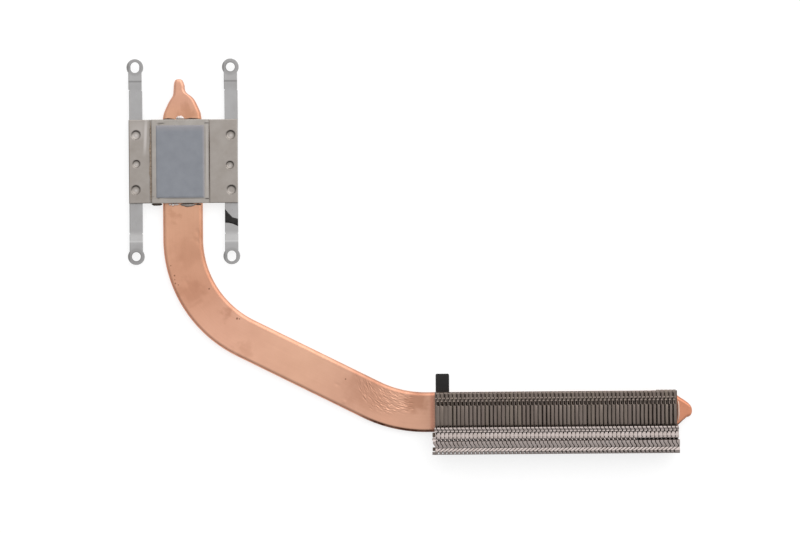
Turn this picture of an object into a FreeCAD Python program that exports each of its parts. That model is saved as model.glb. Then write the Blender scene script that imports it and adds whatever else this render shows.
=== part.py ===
import FreeCAD, Part
import math
import os
import Sketcher

# Laptop heat-pipe cooler, seen from its contact side, all sizes in millimetres.
# The origin is on the contact face, in the middle of the four screw eyes. X runs along the
# fin stack, Y points from the stack to the plate, and +Z is the side that meets the chip.

SIZES = [
    # Flattened copper heat pipe
    ("pipe_width", 11.2, "an 8 mm round pipe pressed flat"),
    ("pipe_thickness", 2.0, "height of the flattened pipe"),
    ("pipe_offset", 0.35, "the pipe runs this far left of the plate's middle"),
    ("pipe_start", 10.4, "where the full width begins, above the middle of the plate"),
    ("first_run_end", 21.7, "where the first bend begins, below the middle of the plate"),
    ("first_bend_radius", 31.2, "on the pipe's centre line"),
    ("first_bend_angle", 63.45, "degrees, and the second bend turns the rest of 90"),
    ("middle_run", 39.25, "straight stretch between the bends"),
    ("second_bend_radius", 34.8, "on the pipe's centre line"),
    ("shoulder_length", 8.4, "taper of the filled end"),
    ("shoulder_upper", 2.4, "from the full width to the first change of slope"),
    ("shoulder_upper_width", 10.7, "width there"),
    ("shoulder_lower", 5.2, "from the full width to the second change of slope"),
    ("shoulder_lower_width", 8.7, "width there"),
    ("shoulder_end_width", 4.9, "width where the filling nipple begins"),
    ("shoulder_offset", 0.2, "sideways lean of the taper's end"),
    ("nipple_width", 3.05, "pinched filling nipple"),
    ("nipple_length", 3.7, "from the shoulder to the rounding"),
    ("nipple_offset", 0.85, "sideways, from the pipe's centre line"),
    ("nipple_root", 0.8, "how far the nipple starts inside the shoulder"),
    ("nipple_thickness", 1.8, "height of the nipple"),
    ("tip_length", 5.5, "taper of the closed end"),
    ("tip_end_width", 3.2, "width where that taper is rounded off"),
    ("cap_length", 0.75, "length of the rounding at both ends"),
    ("cap_width", 1.5, "width of the small flat at both ends"),
    ("cap_thickness", 0.9, "height of the small flat at both ends"),
    ("tip_inset", 2.05, "the closed end tapers from this far inside the stack"),
    # Plate, contact block and thermal pad
    ("plate_width", 30.7, "across the two wings"),
    ("plate_height", 23.6, "along the pipe"),
    ("plate_thickness", 0.8, "stamped sheet"),
    ("block_width", 16.1, "raised block under the chip"),
    ("block_thickness", 0.5, "above the wings"),
    ("block_offset", 0.75, "left of the plate's middle"),
    ("pad_width", 13.5, "thermal pad"),
    ("pad_height", 20.3, "thermal pad"),
    ("pad_thickness", 0.2, "thermal pad"),
    # Spring arms and the spot welds that hold them under the wings
    ("eye_spacing_x", 26.7, "between the two arms"),
    ("eye_spacing_y", 53.0, "between the two eyes of an arm"),
    ("arm_width", 3.8, "spring strip"),
    ("arm_thickness", 0.4, "spring strip"),
    ("arm_rise", 0.3, "step of each arm's end towards the chip side"),
    ("ramp_start", 19.9, "where that step begins, from the middle of the arm"),
    ("ramp_length", 2.55, "along the arm"),
    ("eye_radius", 2.35, "outside of the round eye"),
    ("hole_radius", 1.25, "clearance for an M2 screw"),
    ("slot_travel", 0.5, "how much longer than round the slotted hole is"),
    ("weld_row", 7.55, "from the middle to the outer welds"),
    ("middle_weld_drop", 0.6, "the middle welds sit this far below the middle"),
    ("outer_weld_radius", 1.3, "round mark pressed into the wing"),
    ("middle_weld_radius", 1.1, "round mark pressed into the wing"),
    ("weld_depth", 0.35, "depth of the marks"),
    # Fin stack
    ("fin_count", 60, "folded fins"),
    ("fin_pitch", 1.137, "from fin to fin"),
    ("fin_sheet", 0.2, "sheet thickness"),
    ("fin_joint", 0.04, "gap between a flange and the next fin"),
    ("stack_start", 2.4, "from the end of the second bend to the first fin"),
    ("stack_overhang", 0.05, "how far the stack reaches past the pipe's upper edge"),
    ("stack_depth", 16.95, "the way the air flows"),
    ("low_height", 3.2, "top of the low step above the pipe"),
    ("middle_rise", 1.7, "from the low step to the middle one"),
    ("high_rise", 1.6, "from the middle step to the high one"),
    ("low_depth", 9.65, "low step, from the inlet edge"),
    ("middle_depth", 3.4, "middle step"),
    ("slit_width", 0.32, "open slit between a low flange and the fin before"),
    ("arrow_start", 1.2, "from the high step's edge to the arrow-shaped lock"),
    ("arrow_length", 1.9, "length of that lock"),
    ("arrow_reach", 1.3, "how far the lock's point reaches over the next fins"),
    ("closing_edge", 0.55, "on the last fin they end this far past the web's near side"),
    # Tape
    ("tape_width", 3.8, "black tape tab"),
    ("tape_thickness", 0.15, "black tape tab"),
    ("tape_free", 5.05, "loose end past the stack"),
    ("tape_stuck", 8.0, "length stuck under the pipe"),
    ("tape_inset", 0.3, "from the first fin to the tape's edge"),
]

doc = FreeCAD.newDocument("Cooler")
sheet = doc.addObject("Spreadsheet::Sheet", "Sizes")
for row, (alias, value, meaning) in enumerate(SIZES, start=1):
    sheet.set(f"A{row}", alias)
    sheet.set(f"B{row}", str(value))
    sheet.set(f"C{row}", meaning)
    sheet.setAlias(f"B{row}", alias)
doc.recompute()


def size(alias):
    return f"Sizes.{alias}"


# Heights, measured down from the contact face
BLOCK_TOP = "(-Sizes.pad_thickness)"
PLATE_TOP = f"({BLOCK_TOP} - Sizes.block_thickness)"
PIPE_TOP = f"({PLATE_TOP} - Sizes.plate_thickness)"
PIPE_MIDDLE = f"({PIPE_TOP} - Sizes.pipe_thickness / 2)"
PIPE_BOTTOM = f"({PIPE_TOP} - Sizes.pipe_thickness)"
ARM_BOTTOM = f"({PIPE_TOP} - Sizes.arm_thickness)"

# Places along the pipe's centre line
TURN = "(Sizes.first_bend_angle * 1 deg)"
PIPE_X = "(-Sizes.pipe_offset)"
BEND_ONE_END_X = f"({PIPE_X} + Sizes.first_bend_radius * (1 - cos({TURN})))"
BEND_ONE_END_Y = f"(-Sizes.first_run_end - Sizes.first_bend_radius * sin({TURN}))"
BEND_TWO_START_X = f"({BEND_ONE_END_X} + Sizes.middle_run * sin({TURN}))"
BEND_TWO_START_Y = f"({BEND_ONE_END_Y} - Sizes.middle_run * cos({TURN}))"
LAST_RUN_X = f"({BEND_TWO_START_X} + Sizes.second_bend_radius * cos({TURN}))"
LAST_RUN_Y = f"({BEND_TWO_START_Y} - Sizes.second_bend_radius * (1 - sin({TURN})))"
STACK_X = f"({LAST_RUN_X} + Sizes.stack_start)"
STACK_Y = f"({LAST_RUN_Y} + Sizes.pipe_width / 2 + Sizes.stack_overhang)"
TAPER_X = f"({STACK_X} + Sizes.fin_count * Sizes.fin_pitch - Sizes.tip_inset)"


def value_of(expression):
    return float(sheet.evalExpression(expression))


def new_body(label):
    body = doc.addObject("PartDesign::Body", label)
    body.Label = label
    return body


def new_sketch(body, name, role, distance=None):
    sketch = body.newObject("Sketcher::SketchObject", name)
    plane = [f for f in body.Origin.OriginFeatures if f.Role == role][0]
    sketch.AttachmentSupport = [(plane, "")]
    sketch.MapMode = "FlatFace"
    if distance is not None:
        sketch.setExpression("AttachmentOffset.Base.z", distance)
    doc.recompute()
    return sketch


def hold_point(sketch, edge, end, across, up):
    for kind, expression in (("DistanceX", across), ("DistanceY", up)):
        index = sketch.addConstraint(
            Sketcher.Constraint(kind, -1, 1, edge, end, value_of(expression)))
        sketch.setExpression(f"Constraints[{index}]", expression)


def outline(sketch, corners):
    # Straight edges from corner to corner, each corner held by its two coordinates.
    points = [FreeCAD.Vector(value_of(x), value_of(y), 0) for x, y in corners]
    for i, point in enumerate(points):
        sketch.addGeometry(Part.LineSegment(point, points[(i + 1) % len(points)]), False)
    for i in range(len(points)):
        sketch.addConstraint(Sketcher.Constraint("Coincident", i, 2, (i + 1) % len(points), 1))
    for i, (x, y) in enumerate(corners):
        hold_point(sketch, i, 1, x, y)


def rectangle(sketch, left, bottom, right, top):
    outline(sketch, [(left, bottom), (right, bottom), (right, top), (left, top)])


def flat_oval(sketch, middle_x, middle_y, width, thickness):
    # Two straight sides joined by half circles: the section of a flattened pipe, and a slot.
    radius = value_of(thickness) / 2
    reach = (value_of(width) - value_of(thickness)) / 2
    x, y = value_of(middle_x), value_of(middle_y)
    left, right = FreeCAD.Vector(x - reach, y, 0), FreeCAD.Vector(x + reach, y, 0)
    up = FreeCAD.Vector(0, radius, 0)
    normal = FreeCAD.Vector(0, 0, 1)
    quarter = math.pi / 2
    sketch.addGeometry(Part.LineSegment(left - up, right - up), False)
    sketch.addGeometry(Part.ArcOfCircle(Part.Circle(right, normal, radius), -quarter, quarter), False)
    sketch.addGeometry(Part.LineSegment(right + up, left + up), False)
    sketch.addGeometry(
        Part.ArcOfCircle(Part.Circle(left, normal, radius), quarter, 3 * quarter), False)
    for i in range(4):
        sketch.addConstraint(Sketcher.Constraint("Tangent", i, 2, (i + 1) % 4, 1))
    hold_point(sketch, 1, 3, f"{middle_x} + ({width} - {thickness}) / 2", middle_y)
    hold_point(sketch, 3, 3, f"{middle_x} - ({width} - {thickness}) / 2", middle_y)
    index = sketch.addConstraint(Sketcher.Constraint("Radius", 1, radius))
    sketch.setExpression(f"Constraints[{index}]", f"{thickness} / 2")


def pad(body, sketch, length, reverse=False):
    feature = body.newObject("PartDesign::Pad", sketch.Name + "Pad")
    feature.Profile = sketch
    feature.setExpression("Length", length)
    feature.Reversed = reverse
    sketch.Visibility = False
    doc.recompute()
    return feature


def pocket_through(body, sketch):
    feature = body.newObject("PartDesign::Pocket", sketch.Name + "Pocket")
    feature.Profile = sketch
    feature.Type = "ThroughAll"
    feature.Midplane = True
    doc.recompute()
    return feature


def loft(body, profile, sections):
    feature = body.newObject("PartDesign::AdditiveLoft", profile.Name + "Loft")
    feature.Profile = profile
    feature.Sections = sections
    feature.Ruled = True
    doc.recompute()
    return feature


def round_feature(body, kind, name, x, y, z, sizes):
    # A cylinder or cone on a vertical axis, added to the body or taken from it.
    feature = body.newObject(f"PartDesign::{kind}", name)
    for axis, expression in (("x", x), ("y", y), ("z", z)):
        feature.setExpression(f"Placement.Base.{axis}", expression)
    for key, expression in sizes.items():
        feature.setExpression(key, expression)
    doc.recompute()
    return feature


def pipe_path(sketch):
    # First run, first bend, middle run, second bend and the run under the fins.
    turn = math.radians(value_of(size("first_bend_angle")))
    radius_one = value_of(size("first_bend_radius"))
    radius_two = value_of(size("second_bend_radius"))
    start = FreeCAD.Vector(value_of(PIPE_X), value_of(size("pipe_start")), 0)
    bend_one = FreeCAD.Vector(value_of(PIPE_X), -value_of(size("first_run_end")), 0)
    bend_one_end = FreeCAD.Vector(value_of(BEND_ONE_END_X), value_of(BEND_ONE_END_Y), 0)
    bend_two = FreeCAD.Vector(value_of(BEND_TWO_START_X), value_of(BEND_TWO_START_Y), 0)
    last_run = FreeCAD.Vector(value_of(LAST_RUN_X), value_of(LAST_RUN_Y), 0)
    path_end = FreeCAD.Vector(value_of(TAPER_X), value_of(LAST_RUN_Y), 0)
    centre_one = bend_one + FreeCAD.Vector(radius_one, 0, 0)
    centre_two = last_run + FreeCAD.Vector(0, radius_two, 0)
    normal = FreeCAD.Vector(0, 0, 1)
    sketch.addGeometry(Part.LineSegment(start, bend_one), False)
    sketch.addGeometry(Part.ArcOfCircle(
        Part.Circle(centre_one, normal, radius_one), math.pi, math.pi + turn), False)
    sketch.addGeometry(Part.LineSegment(bend_one_end, bend_two), False)
    sketch.addGeometry(Part.ArcOfCircle(
        Part.Circle(centre_two, normal, radius_two), math.pi + turn, 1.5 * math.pi), False)
    sketch.addGeometry(Part.LineSegment(last_run, path_end), False)
    for i in range(4):
        sketch.addConstraint(Sketcher.Constraint("Tangent", i, 2, i + 1, 1))
    sketch.addConstraint(Sketcher.Constraint("Vertical", 0))
    hold_point(sketch, 0, 1, PIPE_X, size("pipe_start"))
    hold_point(sketch, 4, 2, TAPER_X, LAST_RUN_Y)
    sketch.addConstraint(Sketcher.Constraint("Horizontal", 4))
    index = sketch.addConstraint(
        Sketcher.Constraint("DistanceY", -1, 1, 1, 1, -value_of(size("first_run_end"))))
    sketch.setExpression(f"Constraints[{index}]", "-Sizes.first_run_end")
    for edge, alias in ((1, "first_bend_radius"), (3, "second_bend_radius")):
        index = sketch.addConstraint(Sketcher.Constraint("Radius", edge, value_of(size(alias))))
        sketch.setExpression(f"Constraints[{index}]", size(alias))
    doc.recompute()


def heat_pipe():
    body = new_body("heat_pipe")
    path = new_sketch(body, "PipePath", "XY_Plane", PIPE_MIDDLE)
    pipe_path(path)

    def section(name, role, distance, middle, width, thickness):
        sketch = new_sketch(body, name, role, distance)
        flat_oval(sketch, middle, PIPE_MIDDLE, width, thickness)
        doc.recompute()
        return sketch

    def north(name, distance, middle, width, thickness="Sizes.pipe_thickness"):
        return section(name, "XZ_Plane", f"-({distance})", middle, width, thickness)

    def east(name, distance, width, thickness="Sizes.pipe_thickness"):
        return section(name, "YZ_Plane", distance, LAST_RUN_Y, width, thickness)

    start = north("PipeSection", size("pipe_start"), PIPE_X, size("pipe_width"))
    sweep = body.newObject("PartDesign::AdditivePipe", "PipeSweep")
    sweep.Profile = start
    sweep.Spine = (path, [f"Edge{i + 1}" for i in range(path.GeometryCount)])
    doc.recompute()

    shoulder_end = "(Sizes.pipe_start + Sizes.shoulder_length)"
    shoulder = north("ShoulderRoot", size("pipe_start"), PIPE_X, size("pipe_width"))
    loft(body, shoulder, [
        north("ShoulderUpper", "Sizes.pipe_start + Sizes.shoulder_upper", PIPE_X,
              size("shoulder_upper_width")),
        north("ShoulderLower", "Sizes.pipe_start + Sizes.shoulder_lower", PIPE_X,
              size("shoulder_lower_width")),
        north("ShoulderEnd", shoulder_end, f"({PIPE_X} - Sizes.shoulder_offset)",
              size("shoulder_end_width"))])

    nipple_x = f"({PIPE_X} - Sizes.nipple_offset)"
    nipple_end = f"({shoulder_end} + Sizes.nipple_length)"
    nipple = north("NippleRoot", f"{shoulder_end} - Sizes.nipple_root", nipple_x,
                   size("nipple_width"), size("nipple_thickness"))
    loft(body, nipple, [
        north("NippleEnd", nipple_end, nipple_x, size("nipple_width"), size("nipple_thickness")),
        north("NippleCap", f"{nipple_end} + Sizes.cap_length", nipple_x, size("cap_width"),
              size("cap_thickness"))])

    taper_end = f"({TAPER_X} + Sizes.tip_length)"
    tip = east("TipRoot", TAPER_X, size("pipe_width"))
    loft(body, tip, [
        east("TipEnd", taper_end, size("tip_end_width")),
        east("TipCap", f"{taper_end} + Sizes.cap_length", size("cap_width"),
             size("cap_thickness"))])
    return body


WELDS = [
    ("UpperWeld", size("weld_row"), size("outer_weld_radius")),
    ("MiddleWeld", "-Sizes.middle_weld_drop", size("middle_weld_radius")),
    ("LowerWeld", "-Sizes.weld_row", size("outer_weld_radius")),
]
SIDES = [("Left", "-1"), ("Right", "1")]


def mounting_plate():
    body = new_body("mounting_plate")
    sheet_outline = new_sketch(body, "PlateOutline", "XY_Plane", PIPE_TOP)
    rectangle(sheet_outline, "-Sizes.plate_width / 2", "-Sizes.plate_height / 2",
              "Sizes.plate_width / 2", "Sizes.plate_height / 2")
    pad(body, sheet_outline, size("plate_thickness"))
    for side_name, side in SIDES:
        for name, y, radius in WELDS:
            round_feature(body, "SubtractiveCylinder", side_name + name,
                          f"{side} * Sizes.eye_spacing_x / 2", y,
                          f"{PLATE_TOP} - Sizes.weld_depth",
                          {"Radius": radius, "Height": size("weld_depth")})
    return body


def contact_block():
    body = new_body("contact_block")
    face = new_sketch(body, "BlockOutline", "XY_Plane", PLATE_TOP)
    rectangle(face, "-Sizes.block_offset - Sizes.block_width / 2", "-Sizes.plate_height / 2",
              "-Sizes.block_offset + Sizes.block_width / 2", "Sizes.plate_height / 2")
    pad(body, face, size("block_thickness"))
    return body


def thermal_pad():
    body = new_body("thermal_pad")
    face = new_sketch(body, "PadOutline", "XY_Plane", BLOCK_TOP)
    rectangle(face, "-Sizes.block_offset - Sizes.pad_width / 2", "-Sizes.pad_height / 2",
              "-Sizes.block_offset + Sizes.pad_width / 2", "Sizes.pad_height / 2")
    pad(body, face, size("pad_thickness"))
    return body


def spring_arm(label, side_name, side):
    # A flat strip behind the wing whose two ends step up to the screw eyes. The left arm has
    # its slotted eye at the top, the right arm at the bottom.
    body = new_body(label)
    middle_x = f"{side} * Sizes.eye_spacing_x / 2"
    eye = "(Sizes.eye_spacing_y / 2)"
    ramp_end = "(Sizes.ramp_start + Sizes.ramp_length)"
    raised = f"({ARM_BOTTOM} + Sizes.arm_rise)"
    upper = [(f"-{eye}", raised), (f"-{ramp_end}", raised), ("-Sizes.ramp_start", ARM_BOTTOM),
             ("Sizes.ramp_start", ARM_BOTTOM), (ramp_end, raised), (eye, raised)]
    thick = size("arm_thickness")
    profile = new_sketch(body, side_name + "ArmProfile", "YZ_Plane",
                         f"{middle_x} - Sizes.arm_width / 2")
    outline(profile, upper + [(y, f"{z} + {thick}") for y, z in reversed(upper)])
    pad(body, profile, size("arm_width"))
    for end_name, end in (("Upper", "1"), ("Lower", "-1")):
        round_feature(body, "AdditiveCylinder", side_name + end_name + "Eye", middle_x,
                      f"{end} * {eye}", raised,
                      {"Radius": size("eye_radius"), "Height": thick})
    round_feature(body, "SubtractiveCylinder", side_name + "RoundHole", middle_x,
                  f"{side} * {eye}", raised, {"Radius": size("hole_radius"), "Height": thick})
    slot = new_sketch(body, side_name + "Slot", "XY_Plane", raised)
    # The slot is drawn lying along X and turned, so that it runs along the arm.
    slot.AttachmentOffset = FreeCAD.Placement(
        slot.AttachmentOffset.Base, FreeCAD.Rotation(FreeCAD.Vector(0, 0, 1), 90))
    slot.setExpression("AttachmentOffset.Base.x", middle_x)
    slot.setExpression("AttachmentOffset.Base.y", f"-1 * {side} * {eye}")
    flat_oval(slot, "0", "0", "(2 * Sizes.hole_radius + Sizes.slot_travel)",
              "(2 * Sizes.hole_radius)")
    pocket_through(body, slot)
    return body


def tape_tab():
    body = new_body("tape_tab")
    strip = new_sketch(body, "TapeOutline", "XY_Plane", f"{PIPE_BOTTOM} - Sizes.tape_thickness")
    left = f"({STACK_X} + Sizes.tape_inset)"
    pipe_edge = f"({LAST_RUN_Y} + Sizes.pipe_width / 2)"
    rectangle(strip, left, f"{pipe_edge} - Sizes.tape_stuck", f"{left} + Sizes.tape_width",
              f"{STACK_Y} + Sizes.tape_free")
    pad(body, strip, size("tape_thickness"))
    return body


def folded_fin(name, opening=False, closing=False):
    # One fin in its own frame: X is the stacking direction, Y = 0 the inlet edge with the fin
    # below it, and Z = 0 the top of the pipe. The flange on the pipe points to the next fin.
    # The three above point back to the fin before, and the highest has an arrow that fills
    # the notch of the next fin. The first fin has no low flange, because no fin is before it,
    # and the last one closes the stack with no arrow.
    body = new_body(name)
    thick = size("fin_sheet")
    depth = "(-Sizes.stack_depth)"
    step_one = "(-Sizes.low_depth)"
    step_two = "(-Sizes.low_depth - Sizes.middle_depth)"
    low = "Sizes.low_height"
    middle = f"({low} + Sizes.middle_rise)"
    high = f"({middle} + Sizes.high_rise)"
    slit = "(Sizes.fin_pitch - Sizes.slit_width)"
    joint = "(Sizes.fin_pitch - Sizes.fin_joint)"
    low_back = f"({thick} - {slit})"
    back = f"({thick} - {joint})"

    def flange(part, height, corners):
        sketch = new_sketch(body, name + part, "XY_Plane", height)
        outline(sketch, corners)
        pad(body, sketch, thick)

    web = new_sketch(body, name + "Web", "YZ_Plane")
    outline(web, [
        ("0", thick), ("0", f"{low} - {thick}"), (step_one, f"{low} - {thick}"),
        (step_one, f"{middle} - {thick}"), (step_two, f"{middle} - {thick}"),
        (step_two, f"{high} - {thick}"), (depth, f"{high} - {thick}"), (depth, thick)])
    pad(body, web, thick)

    arrow_top = f"({step_two} - Sizes.arrow_start)"
    arrow_point = f"({arrow_top} - Sizes.arrow_length / 2)"
    arrow_bottom = f"({arrow_top} - Sizes.arrow_length)"
    notch = [(back, step_two), (back, arrow_top), (f"{back} + Sizes.arrow_reach", arrow_point),
             (back, arrow_bottom), (back, depth)]
    if closing:
        low_end = slit
        edge = size("closing_edge")
        arrow = [(edge, depth), (edge, step_two)]
    else:
        low_end = joint
        edge = thick
        arrow = [(f"{x} + {joint}", y) for x, y in reversed(notch)]
    if not opening:
        flange("LowFlange", f"{low} - {thick}",
               [(low_back, step_one), (thick, step_one), (thick, "0"), (low_back, "0")])
    flange("MiddleFlange", f"{middle} - {thick}",
           [(back, step_two), (edge, step_two), (edge, step_one), (back, step_one)])
    flange("HighFlange", f"{high} - {thick}", notch + arrow)
    flange("PipeFlange", "0", [("0", depth), (low_end, depth), (low_end, "0"), ("0", "0")])
    return body


def fin_pairs(opening_fin, fin, closing_fin):
    # All fins but the two outer ones are alike. Two neighbours share one node, because a node
    # for each would be too many files, and each fin stays a solid of its own.
    pairs = []
    count = round(value_of(size("fin_count")))
    for first in range(0, count, 2):
        links = []
        for number in range(first, min(first + 2, count)):
            link = doc.addObject("App::Link", f"StackedFin{number + 1:02d}")
            link.LinkedObject = {0: opening_fin, count - 1: closing_fin}.get(number, fin)
            link.setExpression("Placement.Base.x", f"{STACK_X} + {number} * Sizes.fin_pitch")
            link.setExpression("Placement.Base.y", STACK_Y)
            link.setExpression("Placement.Base.z", PIPE_TOP)
            links.append(link)
        label = f"fin_pair_{first // 2 + 1:02d}"
        pair = doc.addObject("Part::Compound", label)
        pair.Label = label
        pair.Links = links
        pairs.append(pair)
    doc.recompute()
    return pairs


nodes = [heat_pipe(), mounting_plate(), contact_block(), thermal_pad()]
nodes.append(spring_arm("left_spring_arm", "Left", "-1"))
nodes.append(spring_arm("right_spring_arm", "Right", "1"))
nodes.append(tape_tab())
nodes += fin_pairs(folded_fin("OpeningFin", opening=True), folded_fin("Fin"),
                   folded_fin("ClosingFin", closing=True))
doc.recompute()

for item in doc.Objects:
    if "Invalid" in item.State or "Error" in item.State:
        raise RuntimeError(f"{item.Label} did not compute: {item.State}")
for node in nodes:
    if node.Shape.isNull() or not node.Shape.isValid():
        raise RuntimeError(f"{node.Label} has no valid shape")

os.makedirs("parts", exist_ok=True)
for node in nodes:
    node.Shape.exportStep(f"parts/{node.Label}.step")
print(f"{len(nodes)} nodes written")
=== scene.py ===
import math
import random

import bmesh
import bpy
import numpy as np
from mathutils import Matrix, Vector


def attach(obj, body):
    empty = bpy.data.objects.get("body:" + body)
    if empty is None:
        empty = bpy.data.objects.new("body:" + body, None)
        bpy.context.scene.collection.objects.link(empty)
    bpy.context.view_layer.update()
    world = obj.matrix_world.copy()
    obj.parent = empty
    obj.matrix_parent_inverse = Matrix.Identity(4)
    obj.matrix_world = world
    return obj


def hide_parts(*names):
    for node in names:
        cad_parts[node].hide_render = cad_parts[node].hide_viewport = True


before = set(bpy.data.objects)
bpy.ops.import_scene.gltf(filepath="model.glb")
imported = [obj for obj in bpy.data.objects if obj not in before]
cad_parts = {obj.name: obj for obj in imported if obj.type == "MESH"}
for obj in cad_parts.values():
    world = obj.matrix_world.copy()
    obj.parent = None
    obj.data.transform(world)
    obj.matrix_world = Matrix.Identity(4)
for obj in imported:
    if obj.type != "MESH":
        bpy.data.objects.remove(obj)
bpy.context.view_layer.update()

mm = 0.001  # sizes below are in millimetres, Blender's are in metres
bumpDepth = 0.05 * mm  # how deep the finest marks are


# shared helpers

def hexToLinear(colour):
    # sRGB hex, as a colour picker shows it, to the linear values that the shader takes
    parts = [int(colour[i:i + 2], 16) / 255 for i in (1, 3, 5)]
    linear = [p / 12.92 if p <= 0.04045 else ((p + 0.055) / 1.055) ** 2.4 for p in parts]
    return (*linear, 1.0)


def addNode(tree, kind, settings=None, links=None):
    # settings: input names or numbers and node options; links: input -> output socket
    node = tree.nodes.new(kind)
    for key, value in (settings or {}).items():
        if key == "stops":
            ramp = node.color_ramp
            while len(ramp.elements) < len(value):
                ramp.elements.new(1.0)
            for element, (place, colour) in zip(ramp.elements, value):
                element.position = place
                element.color = hexToLinear(colour)
        elif isinstance(key, int) or key in node.inputs:
            node.inputs[key].default_value = value
        else:
            setattr(node, key, value)
    for key, source in (links or {}).items():
        tree.links.new(source, node.inputs[key])
    return node


def newMaterial(name):
    material = bpy.data.materials.new(name)
    material.use_nodes = True
    tree = material.node_tree
    return material, tree, tree.nodes["Principled BSDF"]


def makePiece(name, points, faces, material, replaced=(), slotName=None):
    # points in millimetres, in the frame's own axes; every face is smooth
    mesh = bpy.data.meshes.new(name)
    mesh.from_pydata([(x * mm, y * mm, z * mm) for x, y, z in points], [], faces)
    mesh.update()
    piece = bpy.data.objects.new(name, mesh)
    bpy.context.scene.collection.objects.link(piece)
    mesh.materials.append(material)
    mesh.polygons.foreach_set("use_smooth", [True] * len(mesh.polygons))
    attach(piece, "root")
    if replaced:
        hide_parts(*replaced)
    return piece


def sharpenEdges(piece, degrees=32):
    # smooth faces, with an edge left sharp where the sheet is folded or cut
    mesh = piece.data
    editor = bmesh.new()
    editor.from_mesh(mesh)
    bmesh.ops.recalc_face_normals(editor, faces=editor.faces)
    limit = math.radians(degrees)
    for edge in editor.edges:
        edge.smooth = not (edge.is_manifold and edge.calc_face_angle(0) > limit)
    editor.to_mesh(mesh)
    editor.free()


def setPointField(piece, name, first, second):
    # two values for each point, which the finish reads as x and y
    field = piece.data.attributes.new(name, "FLOAT_VECTOR", "POINT")
    values = np.zeros((len(first), 3), dtype=np.float32)
    values[:, 0] = first
    values[:, 1] = second
    field.data.foreach_set("vector", values.ravel())


def smoothStep(low, high, value):
    t = min(max((value - low) / (high - low), 0.0), 1.0)
    return t * t * (3 - 2 * t)


def between(table, value):
    # straight-line look-up in a list of (place, size, size, ...)
    if value <= table[0][0]:
        return table[0][1:]
    for lower, upper in zip(table, table[1:]):
        if value <= upper[0]:
            t = (value - lower[0]) / (upper[0] - lower[0])
            return tuple(a + (b - a) * t for a, b in zip(lower[1:], upper[1:]))
    return table[-1][1:]


def loftLoops(loops):
    # closed sections of equal length, joined and capped
    points = [point for loop in loops for point in loop]
    count = len(loops[0])
    faces = []
    for k in range(len(loops) - 1):
        a, b = k * count, (k + 1) * count
        for i in range(count):
            j = (i + 1) % count
            faces.append((a + i, a + j, b + j, b + i))
    faces.append(tuple(reversed(range(count))))
    faces.append(tuple(range((len(loops) - 1) * count, len(loops) * count)))
    return points, faces


# materials

def shadeBetween(tree, tone, source, nothing, full, colour, most=1.0, blend="MIX",
        curve="LINEAR"):
    # one more layer on a tone: none of the colour where the source has the first value, the
    # most of it where it has the second
    amount = addNode(tree, "ShaderNodeMapRange", {"interpolation_type": curve,
            "From Min": nothing, "From Max": full, "To Max": most}, {"Value": source})
    mixed = addNode(tree, "ShaderNodeMix", {"data_type": "RGBA", "blend_type": blend,
            "B": hexToLinear(colour)}, {"A": tone, "Factor": amount.outputs[0]})
    return mixed.outputs["Result"]


def openTone(material):
    # a finished material's tree, its tone and the place on the piece, for more layers
    tree = material.node_tree
    baseColour = tree.nodes["Principled BSDF"].inputs["Base Color"]
    coords = addNode(tree, "ShaderNodeTexCoord")
    place = addNode(tree, "ShaderNodeSeparateXYZ", links={0: coords.outputs["Object"]})
    return tree, baseColour, baseColour.links[0].from_socket, place.outputs


def sheetMetal(name, base, stain, roughness, grain, stainSize, lines=(1.0, 1.0, 1.0), wornAndShaded=False,
        metallic=1.0):
    # A rolled and plated sheet: one tone, stained in patches, with a fine grain.
    # grain and stainSize are the real sizes in millimetres. A worn sheet reads a point attribute:
    # x darkens, for grime and painted shade in corners and at edges, y lightens, for rubbed
    # places and painted highlights.
    material, tree, shader = newMaterial(name)
    coords = addNode(tree, "ShaderNodeTexCoord")
    patches = addNode(tree, "ShaderNodeTexNoise", {"Scale": 1 / (stainSize * mm), "Detail": 5.0,
            "Roughness": 0.62}, {"Vector": coords.outputs["Object"]})
    amount = addNode(tree, "ShaderNodeMapRange", {"From Min": 0.38, "From Max": 0.68,
            "To Max": 0.5}, {"Value": patches.outputs["Fac"]})
    colour = addNode(tree, "ShaderNodeMix", {"data_type": "RGBA", "A": hexToLinear(base),
            "B": hexToLinear(stain)}, {"Factor": amount.outputs[0]})
    tone = colour.outputs["Result"]
    if wornAndShaded:
        wear = addNode(tree, "ShaderNodeAttribute", {"attribute_name": "wear"})
        parts = addNode(tree, "ShaderNodeSeparateXYZ", links={0: wear.outputs["Vector"]})
        # lighter for rubbed places and painted highlights, darker for grime and painted shade
        for axis, shade in (("Y", "#dcd6d3"), ("X", "#2e2723")):
            tone = shadeBetween(tree, tone, parts.outputs[axis], 0.0, 1.0, shade)
    grainMap = addNode(tree, "ShaderNodeMapping", {"Scale": lines},
            {"Vector": coords.outputs["Object"]})
    fine = addNode(tree, "ShaderNodeTexNoise", {"Scale": 1 / (grain * mm), "Detail": 4.0,
            "Roughness": 0.7}, {"Vector": grainMap.outputs[0]})
    rough = addNode(tree, "ShaderNodeMapRange", {"From Min": 0.3, "From Max": 0.7,
            "To Min": roughness - 0.06, "To Max": roughness + 0.08},
            {"Value": fine.outputs["Fac"]})
    bump = addNode(tree, "ShaderNodeBump", {"Strength": 0.12, "Distance": bumpDepth},
            {"Height": fine.outputs["Fac"]})
    shader.inputs["Metallic"].default_value = metallic
    tree.links.new(tone, shader.inputs["Base Color"])
    tree.links.new(rough.outputs[0], shader.inputs["Roughness"])
    tree.links.new(bump.outputs[0], shader.inputs["Normal"])
    return material


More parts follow.
